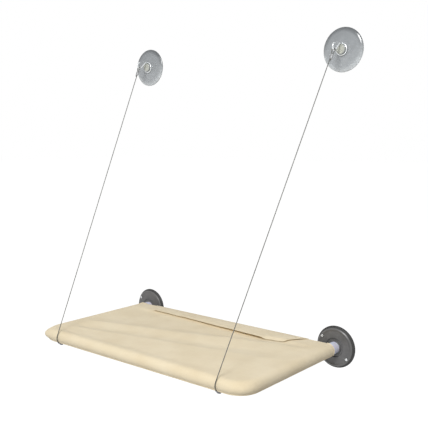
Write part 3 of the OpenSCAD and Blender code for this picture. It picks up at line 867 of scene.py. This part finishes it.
# Seams and hems of the cover
seams = {
    "turn": math.radians(-48),
    "rib": (1.3 * mm, 0.55 * mm),
    "ribSides": 10,
    # How high up the rib its stitches lie
    "stitchOn": 0.7,
    "cuffRoll": 0.7 * mm,
    # A stitch: its share of the pitch either way, its rise in the middle and its fall to the ends
    "stitchPitch": 3.4 * mm,
    "stitchHalf": 0.38,
    "stitchRise": (0.9, 1.6),
    "threadR": 0.22 * mm,
    "threadSides": 6,
    "cuffHem": 7 * mm,
    "cuffThread": 0.15 * mm,
}


def layStitches(name, points, normals, body):
    # Lockstitch along a line: short threads that dip into the cloth at both ends
    pitch = seams["stitchPitch"]
    half, threadR, (rise, fall) = pitch * seams["stitchHalf"], seams["threadR"], seams["stitchRise"]
    thread = roundSection(threadR, seams["threadSides"])
    made, faces, walked, nextAt = [], [], 0.0, pitch * 0.5
    for (a, b), normal in zip(zip(points, points[1:]), normals):
        span = (b - a).length
        if span < 1e-9:
            continue
        ahead = (b - a) / span
        while nextAt <= walked + span:
            middle = a + ahead * (nextAt - walked)
            line = [middle + ahead * (half * t) + normal * (threadR * (rise - fall * t * t))
                    for t in (-1, -0.5, 0, 0.5, 1)]
            addOn(made, faces, *sweep(line, thread))
            nextAt += pitch
        walked += span
    return dress(meshPiece(name, made, faces), "canvas", body, look="thread")


def buildSeams(bag, edge, hems):
    turn = seams["turn"]
    wide, high = seams["rib"]
    line, normals = [], []
    for place, out in edge:
        normal = (out * math.cos(turn) + Vector((0, 0, math.sin(turn)))).normalized()
        bulge = creaseDepth(place, out, turn) * math.sqrt(math.cos(turn))
        line.append(place + out * (coverR + bulge) * math.cos(turn) + Vector((0, 0, coverR * math.sin(turn))))
        normals.append(normal)
    points, count = [], seams["ribSides"]
    for p, normal, ahead in zip(line, normals, [f[0] for f in framesAlong(line)]):
        side = normal.cross(ahead).normalized()
        for k in range(count):
            a = 2 * math.pi * k / count
            points.append(p + side * wide * math.cos(a) + normal * high * math.sin(a))
    rib = fixNormals(meshPiece("coverSeam", points, ringFaces(len(line), count)))
    dress(rib, "canvas", "root")
    above = [p + n * (high * seams["stitchOn"]) for p, n in zip(line, normals)]
    layStitches("coverSeamStitches", above, normals, "root")
    back = Vector((0, -seams["cuffHem"], 0))
    for name, closed in hems.items():
        roll = meshPiece(name + "CuffHem", *sweep(closed, roundSection(seams["cuffRoll"], 8), closed=True))
        dress(fixNormals(roll), "canvas", "root")
        centre = sum(closed, Vector()) / len(closed)
        row, aside = [], []
        for p in closed + closed[:1]:
            normal = Vector((p.x - centre.x, 0, p.z - centre.z)).normalized()
            row.append(p + back + normal * seams["cuffThread"])
            aside.append(normal)
        layStitches(name + "CuffStitches", row, aside, "root")


def flapEdgeY(x):
    corners = [(a * mm, b * mm) for a, b in flap["edge"]]
    for (xa, ya), (xb, yb) in zip(corners, corners[1:]):
        if x <= xb:
            t = max(0, (x - xa) / (xb - xa))
            return ya + (yb - ya) * (t + (smoothStep(t) - t) * flap["cornerEase"])
    return corners[-1][1]


def flapPoint(u, v):
    # u runs across from left to right, v from the root over the rear rail to the free edge
    bend, rootHalf, across = flap["bend"], flap["rootHalf"], 2 * u - 1
    edgeHalf = flap["edge"][-1][0] * mm
    if v <= bend:
        turn = math.radians(flap["rootTurn"] + (90 - flap["rootTurn"]) * v / bend)
        radius = flap["rootR"] + flap["thick"]
        return Vector((across * rootHalf, rearY + radius * math.cos(turn), radius * math.sin(turn)))
    t = (v - bend) / (1 - bend)
    x = across * (rootHalf + (edgeHalf - rootHalf) * t)
    edgeY = flapEdgeY(across * edgeHalf)
    y = rearY + (edgeY - rearY) * t
    low, high = flap["rootR"], flap["under"]
    z = low + (high - low) * smoothStep((rearY - y) / flap["riseEnd"])
    past = max(0, cover["stripFront"] - y) / max(1e-6, cover["stripFront"] - edgeY)
    start, over, least = flap["closeFrom"]
    near = smoothStep((x - start) / over)
    rest = panelTop(x, y) + flap["above"][0] - flap["above"][1] * near
    z += (rest - z) * (least + (1 - least) * near) * smoothStep(past)
    high, longWay, shortWay, level = flap["wave"]
    z += high * noise.noise(Vector((x / longWay, y / shortWay, level))) * smoothStep(t)
    start, over, clear, fullAt = flap["drape"]
    z += (panelTop(x, y) + clear - z) * smoothStep((x - start) / over) * smoothStep(t / fullAt)
    hemIn = min((1 - t) * (rearY - edgeY), (1 - abs(across)) * edgeHalf)
    ridge = flap["ridge"] * (1 - smoothStep((hemIn - flap["hem"]) / flap["hemStep"]))
    dent = flap["dent"] * hump(hemIn - flap["stitchIn"], flap["dentWide"])
    return Vector((x, y, z + flap["thick"] + ridge - dent))


def buildFlap():
    nAcross, nDeep = flap["across"], flap["deep"]
    mesh = bmesh.new()
    layer = mesh.loops.layers.uv.new("cloth")
    # Rows and columns stand closer together near the free edge and the ends
    vs = [(j / nDeep) ** flap["rowsClose"] for j in range(nDeep + 1)]
    least, power = flap["columnsClose"]
    turned = [math.cos(math.pi * i / nAcross) for i in range(nAcross + 1)]
    us = [0.5 - 0.5 * c * (least + (1 - least) * abs(c) ** power) for c in turned]
    us[0], us[-1] = 0.0, 1.0
    grid = [[flapPoint(u, v) for u in us] for v in vs]
    marks = [[((2 * u - 1) * flap["rootHalf"], -flap["weaveDeep"] * v) for u in us] for v in vs]
    addPatch(mesh, layer, grid, marks)
    for face in mesh.faces:
        face.normal_update()
    if sum(face.normal.z for face in mesh.faces) < 0:
        bmesh.ops.reverse_faces(mesh, faces=mesh.faces)
    piece = clothPiece("rearFlap", mesh, flap["thick"], "rear_flap", "rear_flap")
    bend, inset = flap["bend"], flap["stitchIn"]
    edgeHalf = flap["edge"][-1][0] * mm
    near = inset / edgeHalf
    downSteps, alongSteps = flap["stitchSteps"]
    vs = [bend + (1 - bend) * k / downSteps for k in range(1, downSteps - 2)]
    line = [flapPoint(near / 2, v) for v in vs]
    for k in range(alongSteps + 1):
        u = (near + (2 - 2 * near) * k / alongSteps) / 2
        depth = rearY - flapEdgeY((2 * u - 1) * edgeHalf)
        line.append(flapPoint(u, 1 - (1 - bend) * inset / depth))
    line += [flapPoint(1 - near / 2, v) for v in reversed(vs)]
    sewn = layStitches("flapStitches", line, [Vector((0, 0, 1))] * len(line), "rear_flap")


# Hook and loop: one tape on the cover, one under the flap
strips = {
    "half": 159 * mm,
    "front": cover["stripFront"],
    "wide": 16 * mm,
    "base": 0.28 * mm,
    "thick": 0.7 * mm,
    "hookPitch": 2.0 * mm,
    "hookRows": 7,
    "hookLow": 0.04 * mm,
    "stemHalf": 0.12 * mm,
    "stemLean": 0.1 * mm,
    "barbHalf": 0.14 * mm,
    "barbReach": (0.1 * mm, 0.42 * mm),
    "loopCells": (220, 14),
    "pile": 0.25 * mm,
}


def buildHookStrip():
    z = coverR
    half, front, wide = strips["half"], strips["front"], strips["wide"]
    points, faces = [], []

    def box(x0, x1, y0, y1, z0, z1, lean=0.0):
        corners = [Vector((x, y + shift, z)) for z, shift in ((z0, 0), (z1, lean))
                   for x, y in ((x0, y0), (x1, y0), (x1, y1), (x0, y1))]
        addOn(points, faces, corners, ((3, 2, 1, 0), (4, 5, 6, 7), (0, 1, 5, 4), (1, 2, 6, 5), (2, 3, 7, 6),
                                       (3, 0, 4, 7)))

    box(-half, half, front, front + wide, z, z + strips["base"])
    pitch = strips["hookPitch"]
    top = z + strips["thick"] - strips["hookLow"]
    stem, thin, wider = z + strips["base"] * 0.9, strips["stemHalf"], strips["barbHalf"]
    back, ahead = strips["barbReach"]
    for i in range(int(2 * half / pitch) - 1):
        for j in range(strips["hookRows"]):
            x = -half + pitch * (i + 1)
            y = front + pitch * (j + 1)
            turn = 1 if (i + j) % 2 else -1
            box(x - thin, x + thin, y - thin, y + thin, stem, top - thin, strips["stemLean"] * turn)
            box(x - wider, x + wider, y - back, y + ahead * turn, top - wider, top)
    dress(meshPiece("hookTape", points, faces, False), "hook_and_loop", "root", "hook_strip")


def buildLoopStrip():
    dice = random.Random(7)
    half, front, wide = strips["half"], strips["front"], strips["wide"]
    top = flap["under"]
    nAcross, nDeep = strips["loopCells"]
    points = []
    for j in range(nDeep + 1):
        for i in range(nAcross + 1):
            x = -half + 2 * half * i / nAcross
            y = front + wide * j / nDeep
            edge = min(i, nAcross - i, j, nDeep - j) == 0
            pile = strips["base"] if edge else strips["thick"] - strips["pile"] * dice.random()
            points.append(Vector((x, y, top - pile)))
    faces = ringFaces(nDeep + 1, nAcross + 1, closedRing=False)
    under, row = len(points), nAcross + 1
    for x, y in ((-half, front), (half, front), (half, front + wide), (-half, front + wide)):
        points.append(Vector((x, y, top)))
    rims = [((0, 1), range(nAcross, -1, -1)), ((2, 3), range(nDeep * row, under)),
            ((3, 0), range(0, under, row)), ((1, 2), range(under - 1, 0, -row)), ((0, 3, 2, 1), ())]
    faces += [tuple([under + k for k in ends] + list(rim)) for ends, rim in rims]
    piece = fixNormals(meshPiece("loopTape", points, faces))
    dress(piece, "hook_and_loop", "rear_flap", "loop_strip")


# Lower cups: a rubber pad under a moulded flange, held by screws
lowerCup = {
    # radius, depth from the glass, rounding, in millimetres
    "pad": [(0, 1.0, 0), (24, 1.0, 1.5), (28, 0, 0.6), (37.6, 0, 0.5), (38, 0.5, 0.4), (38, 1.3, 0.6),
            (36.9, 2.6, 0.3), (36.5, 2.5, 0.3), (35.0, 4.5, 0.6), (33, 4.5, 0), (0, 4.5, 0)],
    "flange": [(3.08, 4.5, 0), (34.2, 4.5, 0.2), (34.5, 4.8, 0.2), (34.5, 5.6, 0.5), (32.4, 7.1, 0.6),
               (31.6, 7.1, 0.5), (29, 6.5, 2.0), (18.2, 8.0, 1.2), (17.0, 8.0, 0.5), (16.2, 6.2, 0.3),
               (13.3, 6.2, 0.3), (13.0, 8.4, 0.3), (12.8, 8.6, 0.2), (11.2, 8.6, 0.25),
               (11.1, 8.2, 0.2), (11.1, 6.5, 0.3), (3.08, 6.5, 0), (3.08, 4.5, 0)],
    "around": (96, 128),
    "screwPlace": 29.8 * mm,
    "screwTurns": (145, 325),
    "screw": {"radius": 2.6 * mm, "high": 1.7 * mm, "shank": 1.5 * mm, "under": 4.9 * mm},
    # How far the recess is turned: the first screw's, then from screw to screw and from side to side
    "recessTurn": (0.4, 1.1, 0.3),
    "face": 7.0 * mm,
}


# A pan head's form as shares of its radius and height, and the soft sides and ends of its cross recess
panHead = {
    "rings": 16,
    "around": 48,
    "fall": 0.34,
    "shoulder": (0.86, 0.748),
    "edgeRound": 2.2,
    "armLong": 0.62,
    "armHalf": 0.17,
    "armDeep": 0.45,
    "soft": (0.1 * mm, 0.15 * mm),
    # Where the shank's tip starts and how wide it ends
    "tip": (0.9, 0.4),
}


def screwMesh(spec):
    # A pan head with a cross recess on a plain shank, its axis along Z and its seat at 0
    rings, around = panHead["rings"], panHead["around"]
    outAt, highAt = panHead["shoulder"]
    arm, half = panHead["armLong"] * spec["radius"], panHead["armHalf"] * spec["radius"]
    softSide, softEnd = panHead["soft"]

    def topAt(r, turn):
        share = r / spec["radius"]
        if share < outAt:
            dome = spec["high"] * (1 - panHead["fall"] * share ** 2)
        else:
            dome = spec["high"] * highAt * (1 - ((share - outAt) / (1 - outAt)) ** panHead["edgeRound"])
        across, up = abs(r * math.cos(turn)), abs(r * math.sin(turn))
        inArm = max(smoothStep((half - a) / softSide + 0.5) * smoothStep((arm - b) / softEnd)
                    for a, b in ((across, up), (up, across)))
        return dome - panHead["armDeep"] * spec["high"] * inArm * (1 - 0.5 * min(1, r / arm))

    points = [Vector((0, 0, topAt(0, 0)))]
    for i in range(1, rings + 1):
        r = spec["radius"] * (i / rings)
        points += [Vector((x, y, topAt(r, 2 * math.pi * k / around) if i < rings else 0))
                   for k, (x, y) in enumerate(circle(r, around))]
    shank, (tipAt, tipWide) = spec["shank"], panHead["tip"]
    for r, z in ((shank, 0), (shank, -spec["under"] * tipAt), (shank * tipWide, -spec["under"])):
        points += [Vector((x, y, z)) for x, y in circle(r, around)]
    faces = [(0, 1 + k, 1 + (k + 1) % around) for k in range(around)]
    faces += ringFaces(rings + 3, around, offset=1)
    faces.append(tuple(len(points) - around + k for k in range(around)))
    return points, faces


def placeScrew(name, spec, place, axis, turn, slot, body, *stoodFor):
    piece = fixNormals(meshPiece(name, *screwMesh(spec)))
    piece.rotation_mode = "QUATERNION"
    piece.rotation_quaternion = axis.to_track_quat("Z", "Y") @ Matrix.Rotation(turn, 3, "Z").to_quaternion()
    piece.location = place
    return dress(piece, slot, body, *stoodFor)


def buildLowerCup(name, side):
    centre = Vector((side * sideX, 0, 0))
    body = name + "_lower_cup"
    padRound, flangeRound = lowerCup["around"]
    pad = revolve(name + "Pad", lowerCup["pad"], centre, padRound)
    dress(pad, "pad_rubber", body, name + "_suction_pad")
    plate = revolve(name + "Flange", lowerCup["flange"], centre, flangeRound)
    dress(plate, "flange_plastic", body, name + "_flange")
    first, byScrew, bySide = lowerCup["recessTurn"]
    for n, degrees in enumerate(lowerCup["screwTurns"]):
        turn = math.radians(degrees)
        place = centre + Vector((math.cos(turn), 0, math.sin(turn))) * lowerCup["screwPlace"]
        place.y = -lowerCup["face"]
        stood = [name + "_flange_screws"] if n == 0 else []
        placeScrew(f"{name}FlangeScrew{n + 1}", lowerCup["screw"], place, Vector((0, -1, 0)),
                   first + byScrew * n + bySide * side, "plated_steel", body, *stood)


# Upper cups: clear, with a neck and a button that the hook's ring sits behind
upperCup = {
    "rise": 520 * mm,
    "around": 128,
    "profile": [(0, 2.6, 0), (12, 2.5, 6), (24, 1.35, 6), (32, 0.15, 1.5), (34, 0, 0.5), (37.5, 0, 0.4),
                (38, 0.4, 0.3), (38, 1.2, 0.5), (36.9, 2.3, 0.8), (34, 3.5, 2.5), (28, 4.2, 4), (20, 4.7, 5),
                (13, 5.1, 3), (9.6, 5.4, 1.2), (7.9, 5.9, 0.7), (7.9, 9.0, 0.3), (8.7, 9.15, 0.25),
                (8.7, 10.8, 0.6), (7.5, 12.0, 0.7), (5.6, 12.0, 0.4), (5.0, 11.5, 0.4), (0, 11.5, 0)],
}

# Hooks: one bent wire, a ring round the neck with an arm and a curl for the cable's eye
hook = {
    "wire": 1.5 * mm,
    "ringR": 9.48 * mm,
    "ringDepth": 7.3 * mm,
    "ringSteps": 72,
    "armTop": 10.5 * mm,
    "lead": 4.7 * mm,
    "reach": 31 * mm,
    "lift": 2 * mm,
    "curlR": 6 * mm,
    "curlEnd": 205,
    "armIn": 0.3 * mm,
    "bendReach": 2.2 * mm,
    "step": 1 * mm,
    "curlSteps": 48,
    "sides": 20,
    "endShares": (0.55, 0.86, 1.0),
    # Half sizes of the weld between the ring and the arm, how far out it lies, and its rings and sides
    "weld": (1.9 * mm, 2.0 * mm, 1.35 * mm),
    "weldOut": 0.6 * mm,
    "weldMesh": (12, 16),
}


def roundRail(centre, radius, degrees):
    # A place round a line along X, with the angle from straight down towards the room
    turn = math.radians(degrees)
    return centre + radius * Vector((0, -math.sin(turn), -math.cos(turn)))


def buildHook(name, side):
    centre = Vector((side * sideX, 0, upperCup["rise"]))
    ringCentre = centre + Vector((0, -hook["ringDepth"], 0))
    flat = (Vector((1, 0, 0)), Vector((0, 0, 1)))
    ring = arc(ringCentre, hook["ringR"], 90, 450, hook["ringSteps"], flat)[:-1]
    points, faces = sweep(ring, roundSection(hook["wire"], hook["sides"]), closed=True)
    curlCentre = centre + Vector((0, -hook["reach"], hook["lift"]))
    bendPlace = ringCentre + Vector((0, -hook["lead"], hook["armTop"]))
    gap = curlCentre - bendPlace
    span = math.hypot(gap.y, gap.z)
    drop = math.degrees(math.atan2(-gap.z, -gap.y) + math.asin(hook["curlR"] / span))
    start = ringCentre + Vector((0, hook["armIn"], hook["armTop"]))
    lead = softenPath([start, bendPlace, roundRail(curlCentre, hook["curlR"], -drop)], hook["bendReach"], 8)
    sweepOn, steps = hook["curlEnd"] + drop, hook["curlSteps"]
    path = evenPath(lead, hook["step"])
    path += [roundRail(curlCentre, hook["curlR"], -drop + sweepOn * k / steps) for k in range(1, steps + 1)]
    last = len(path) - 1

    def section(i):
        return circle(hook["wire"] * hook["endShares"][min(2, i, last - i)], hook["sides"])

    addOn(points, faces, *sweep(path, section))
    wide, deep, high = hook["weld"]
    weldCentre = ringCentre + Vector((0, -hook["weldOut"], hook["ringR"] + hook["weldOut"]))
    rings, around = hook["weldMesh"]
    weld = []
    for i in range(1, rings):
        tilt = math.pi * i / rings
        out, ahead = math.sin(tilt), deep * math.cos(tilt)
        weld += [weldCentre + Vector((wide * out * x, ahead, high * out * z)) for x, z in circle(1, around)]
    caps = [tuple(range(around)), tuple((rings - 2) * around + k for k in reversed(range(around)))]
    addOn(points, faces, weld, ringFaces(rings - 1, around) + caps)
    piece = fixNormals(meshPiece(name + "Hook", points, faces), merge=False)
    dress(piece, "hook_steel", name + "_hook", name + "_hook")
    return curlCentre


def buildUpperCup(name, side):
    centre = Vector((side * sideX, 0, upperCup["rise"]))
    cup = revolve(name + "UpperCup", upperCup["profile"], centre, upperCup["around"])
    dress(cup, "clear_cup", name + "_upper_cup", name + "_upper_cup")


# Cables: stranded rope from a lug under the front rail, round the rail and up to an eye in the hook
rope = {
    "radius": 0.75 * mm,
    "anchorX": 188.5 * mm,
    "wrapR": 13.05 * mm,
    "wrapStart": 46,
    "eyeR": 3.2 * mm,
    "pitch": 1.8 * mm,
    "runIn": 1 * mm,
    "eyeDrop": 8 * mm,
    "eyeClear": 0.1 * mm,
    "eyeSteps": 26,
    "wrapSteps": 16,
    "bendReach": 1.2 * mm,
    "give": 4 * mm,
    "ferruleLen": 9 * mm,
    "tail": 3 * mm,
    "lay": 10 * mm,
    "strands": 6,
    "coreShare": 0.64,
    "around": 24,
    "step": 1.1 * mm,
}


def buildCable(name, side, curlCentre):
    # Solved in the plane of the cable for the right side, and mirrored for the left one
    flip = Matrix.Diagonal((side, 1, 1, 1))
    curl = Vector((sideX, curlCentre.y, curlCentre.z))
    rail = Vector((rope["anchorX"], frontY, 0))
    wrapR = rope["wrapR"]
    away = curl - rail
    distance = math.hypot(away.y, away.z)
    lean = math.atan2(away.y, away.z) + math.asin(wrapR / distance)
    tangent = rail + Vector((0, -wrapR * math.cos(lean), wrapR * math.sin(lean)))
    runYZ = math.sqrt(distance ** 2 - wrapR ** 2) - hook["curlR"]
    runX = curl.x - rail.x
    runLen = math.hypot(runX, runYZ)
    half = rope["pitch"] / 2
    tilt = math.atan2(runX, runYZ) - math.asin(half / runLen)
    along = (Matrix.Translation(tangent) @ Matrix.Rotation(-lean, 4, "X") @ Matrix.Rotation(tilt, 4, "Y"))
    runZ = math.sqrt(runLen ** 2 - half ** 2)
    eyeZ = runZ + hook["wire"] + rope["eyeClear"] + rope["radius"] - rope["eyeR"]
    top = eyeZ - rope["eyeDrop"]
    legSpan = math.hypot(half, rope["eyeDrop"])
    legTurn = math.asin(rope["eyeR"] / legSpan) - math.atan2(half, rope["eyeDrop"])
    eyeCentre = Vector((half, 0, eyeZ))
    loop = [math.degrees(turn) for turn in (math.pi + legTurn, -legTurn)]
    eye = arc(eyeCentre, rope["eyeR"], *loop, rope["eyeSteps"], (Vector((1, 0, 0)), Vector((0, 0, 1))))
    local = softenPath([Vector((0, 0, rope["runIn"])), Vector((0, 0, top)), eye[0]], rope["bendReach"], 5)
    local += eye[1:-1]
    local += softenPath([eye[-1], Vector((2 * half, 0, top)),
                         Vector((2 * half, 0, top - rope["ferruleLen"] - rope["tail"]))],
                        rope["bendReach"], 5)
    wrapEnd = 90 + math.degrees(lean)
    wrapTurn, steps = wrapEnd - rope["wrapStart"], rope["wrapSteps"]
    wrap = [roundRail(rail, wrapR, rope["wrapStart"] + wrapTurn * k / steps) for k in range(steps)]
    path = [flip @ p for p in evenPath(wrap + [along @ p for p in local], rope["step"], round)]
    walked = [0.0]
    for a, b in zip(path, path[1:]):
        walked.append(walked[-1] + (b - a).length)
    part = 2 * math.pi / rope["strands"]
    core = rope["radius"] * rope["coreShare"]
    strand = rope["radius"] * (1 - rope["coreShare"])

    def section(i):
        # Outline of round strands side by side on a core
        twist = side * 2 * math.pi * walked[i] / rope["lay"]
        ring = []
        for k in range(rope["around"]):
            turn = 2 * math.pi * k / rope["around"]
            offset = (((turn - twist) / part) % 1.0 - 0.5) * part
            reach = core * math.cos(offset) + math.sqrt(max(0, strand ** 2 - (core * math.sin(offset)) ** 2))
            ring.append((reach * math.cos(turn), reach * math.sin(turn)))
        return ring

    piece = fixNormals(meshPiece(name + "Cable", *sweep(path, section)))
    dress(piece, "wire_rope", None, name + "_cable", name + "_cable_wrap")
    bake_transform(piece)
    upTo = [flip @ (along @ Vector((half, 0, top - drop))) for drop in (0, rope["ferruleLen"])]
    buildFerrule(name, *upTo, (flip @ (along @ Vector((1, 0, 0, 0)))).to_3d().normalized(), half)


# Ferrules: an oval sleeve pressed flat in three places
ferrule = {
    "wall": 1.05 * mm,
    "presses": (0.22, 0.5, 0.78),
    "pressShare": 0.07,
    "depth": 0.28 * mm,
    "spread": 0.5,
    "brokenEdge": (0.35 * mm, 0.12 * mm, 0.0),
    "around": 32,
    "steps": 36,
}


def buildFerrule(name, start, end, across, half):
    outer = rope["radius"] + ferrule["wall"]
    upward = (end - start).normalized().cross(across).normalized()
    steps, count = ferrule["steps"], ferrule["around"]
    points = []
    for i in range(steps + 1):
        centre = start.lerp(end, i / steps)
        press = sum(hump(i / steps - c, ferrule["pressShare"]) for c in ferrule["presses"]) * ferrule["depth"]
        rim = outer - ferrule["brokenEdge"][min(i, steps - i, 2)]
        for x, z in circle(1, count):
            side = math.copysign(half, x) + (rim + press * ferrule["spread"]) * x
            points.append(centre + across * side + upward * (rim - press) * z)
    faces = ringFaces(steps + 1, count)
    faces.append(tuple(range(count)))
    faces.append(tuple(len(points) - count + k for k in reversed(range(count))))
    piece = fixNormals(meshPiece(name + "Ferrule", points, faces))
    dress(piece, "ferrule_metal", name + "_cable", name + "_ferrule")


# Lug screws: through the lug and the cover into the front rail
lugScrew = {
    "turn": 14,
    "seat": 12.9 * mm,
    "recessTurn": 0.7,
    "spec": {"radius": 3.1 * mm, "high": 1.9 * mm, "shank": 1.75 * mm, "under": 7.0 * mm},
}


def buildLugScrew(name, side):
    rail = Vector((side * rope["anchorX"], frontY, 0))
    seat = roundRail(rail, lugScrew["seat"], lugScrew["turn"])
    placeScrew(name + "LugScrew", lugScrew["spec"], seat, (seat - rail).normalized(),
               lugScrew["recessTurn"] * side, "dark_steel", "root", name + "_lug_screw")


# Studio


studio = {
    "sky": 0.45,
    "keyLamp": {"place": (0.7, -1.88, 1.64), "aim": (0, -0.15, 0.1), "size": 0.8, "power": 43.5},
    "floorDrop": -0.62,
    "floorSize": 60,
    "floorColour": 0.6,
    "floorGlow": 0.74,
}


def addKeyLamp(spec):
    data = bpy.data.lights.new("keyLamp", "AREA")
    data.shape = "DISK"
    data.size = spec["size"]
    data.energy = spec["power"]
    lamp = bpy.data.objects.new("keyLamp", data)
    lamp.location = spec["place"]
    lamp.rotation_mode = "QUATERNION"
    lamp.rotation_quaternion = (Vector(spec["aim"]) - Vector(spec["place"])).to_track_quat("-Z", "Y")
    scene.collection.objects.link(lamp)


def lightPathMix(tree):
    rays = addNode(tree, "LightPath")
    seen = addNode(tree, "Math", {"operation": "MAXIMUM"},
                   {0: rays.outputs["Is Camera Ray"], 1: rays.outputs["Is Glossy Ray"]})
    return addNode(tree, "Math", {"operation": "MAXIMUM"},
                   {0: seen.outputs[0], 1: rays.outputs["Is Transmission Ray"]}).outputs[0]


def addStudio():
    world = bpy.data.worlds.new("studio")
    scene.world = world
    tree = clearTree(world)
    lit = addNode(tree, "Background", {"Color": (1, 1, 1, 1), "Strength": studio["sky"]})
    seen = addNode(tree, "Background", {"Color": (1, 1, 1, 1), "Strength": 1.0})
    both = addNode(tree, "MixShader", links={0: lightPathMix(tree), 1: lit.outputs[0], 2: seen.outputs[0]})
    addNode(tree, "OutputWorld", links={"Surface": both.outputs[0]})

    half = studio["floorSize"] / 2
    z = studio["floorDrop"]
    floor = meshPiece("studioFloor", [(-half, -half, z), (half, -half, z), (half, half, z), (-half, half, z)],
                      [(0, 1, 2, 3)], False)
    made = bpy.data.materials.new("paleFloor")
    tree = clearTree(made)
    matt = addNode(tree, "BsdfDiffuse", {"Color": (studio["floorColour"],) * 3 + (1,)})
    bright = addNode(tree, "Math", {"operation": "MULTIPLY", 1: studio["floorGlow"]}, {0: lightPathMix(tree)})
    glow = addNode(tree, "Emission", {"Color": (1, 1, 1, 1)}, {"Strength": bright.outputs[0]})
    total = addNode(tree, "AddShader", links={0: matt.outputs[0], 1: glow.outputs[0]})
    addNode(tree, "OutputMaterial", links={"Surface": total.outputs[0]})
    floor.data.materials.append(made)
    addKeyLamp(studio["keyLamp"])


addCamera(camera)
addStudio()
scene.view_settings.view_transform = "Standard"
print("studio made")

# Broken edges on the hard CAD pieces, which catch the light
brokenEdges = {
    "slots": ("plated_steel", "plug_plastic", "pvc_pipe", "dark_steel"),
    "width": 0.2 * mm,
    "segments": 2,
    "angle": 40,
}

for row in frame["record"]["subparts"]:
    node = nodes[row["node"]]
    node.data.materials.clear()
    node.data.materials.append(finish[row["material_slot"]])
    if row["material_slot"] in brokenEdges["slots"]:
        edges = node.modifiers.new("edges", "BEVEL")
        edges.width = brokenEdges["width"]
        edges.segments = brokenEdges["segments"]
        edges.limit_method = "ANGLE"
        edges.angle_limit = math.radians(brokenEdges["angle"])
        edges.harden_normals = True
print("cad nodes dressed")

buildCover()
print("cover made")
buildFlap()
buildHookStrip()
buildLoopStrip()
print("flap and tapes made")
for name, side in sides.items():
    buildLowerCup(name, side)
    buildUpperCup(name, side)
    curlCentre = buildHook(name, side)
    buildCable(name, side, curlCentre)
    buildLugScrew(name, side)
print("cups, hooks and cables made")
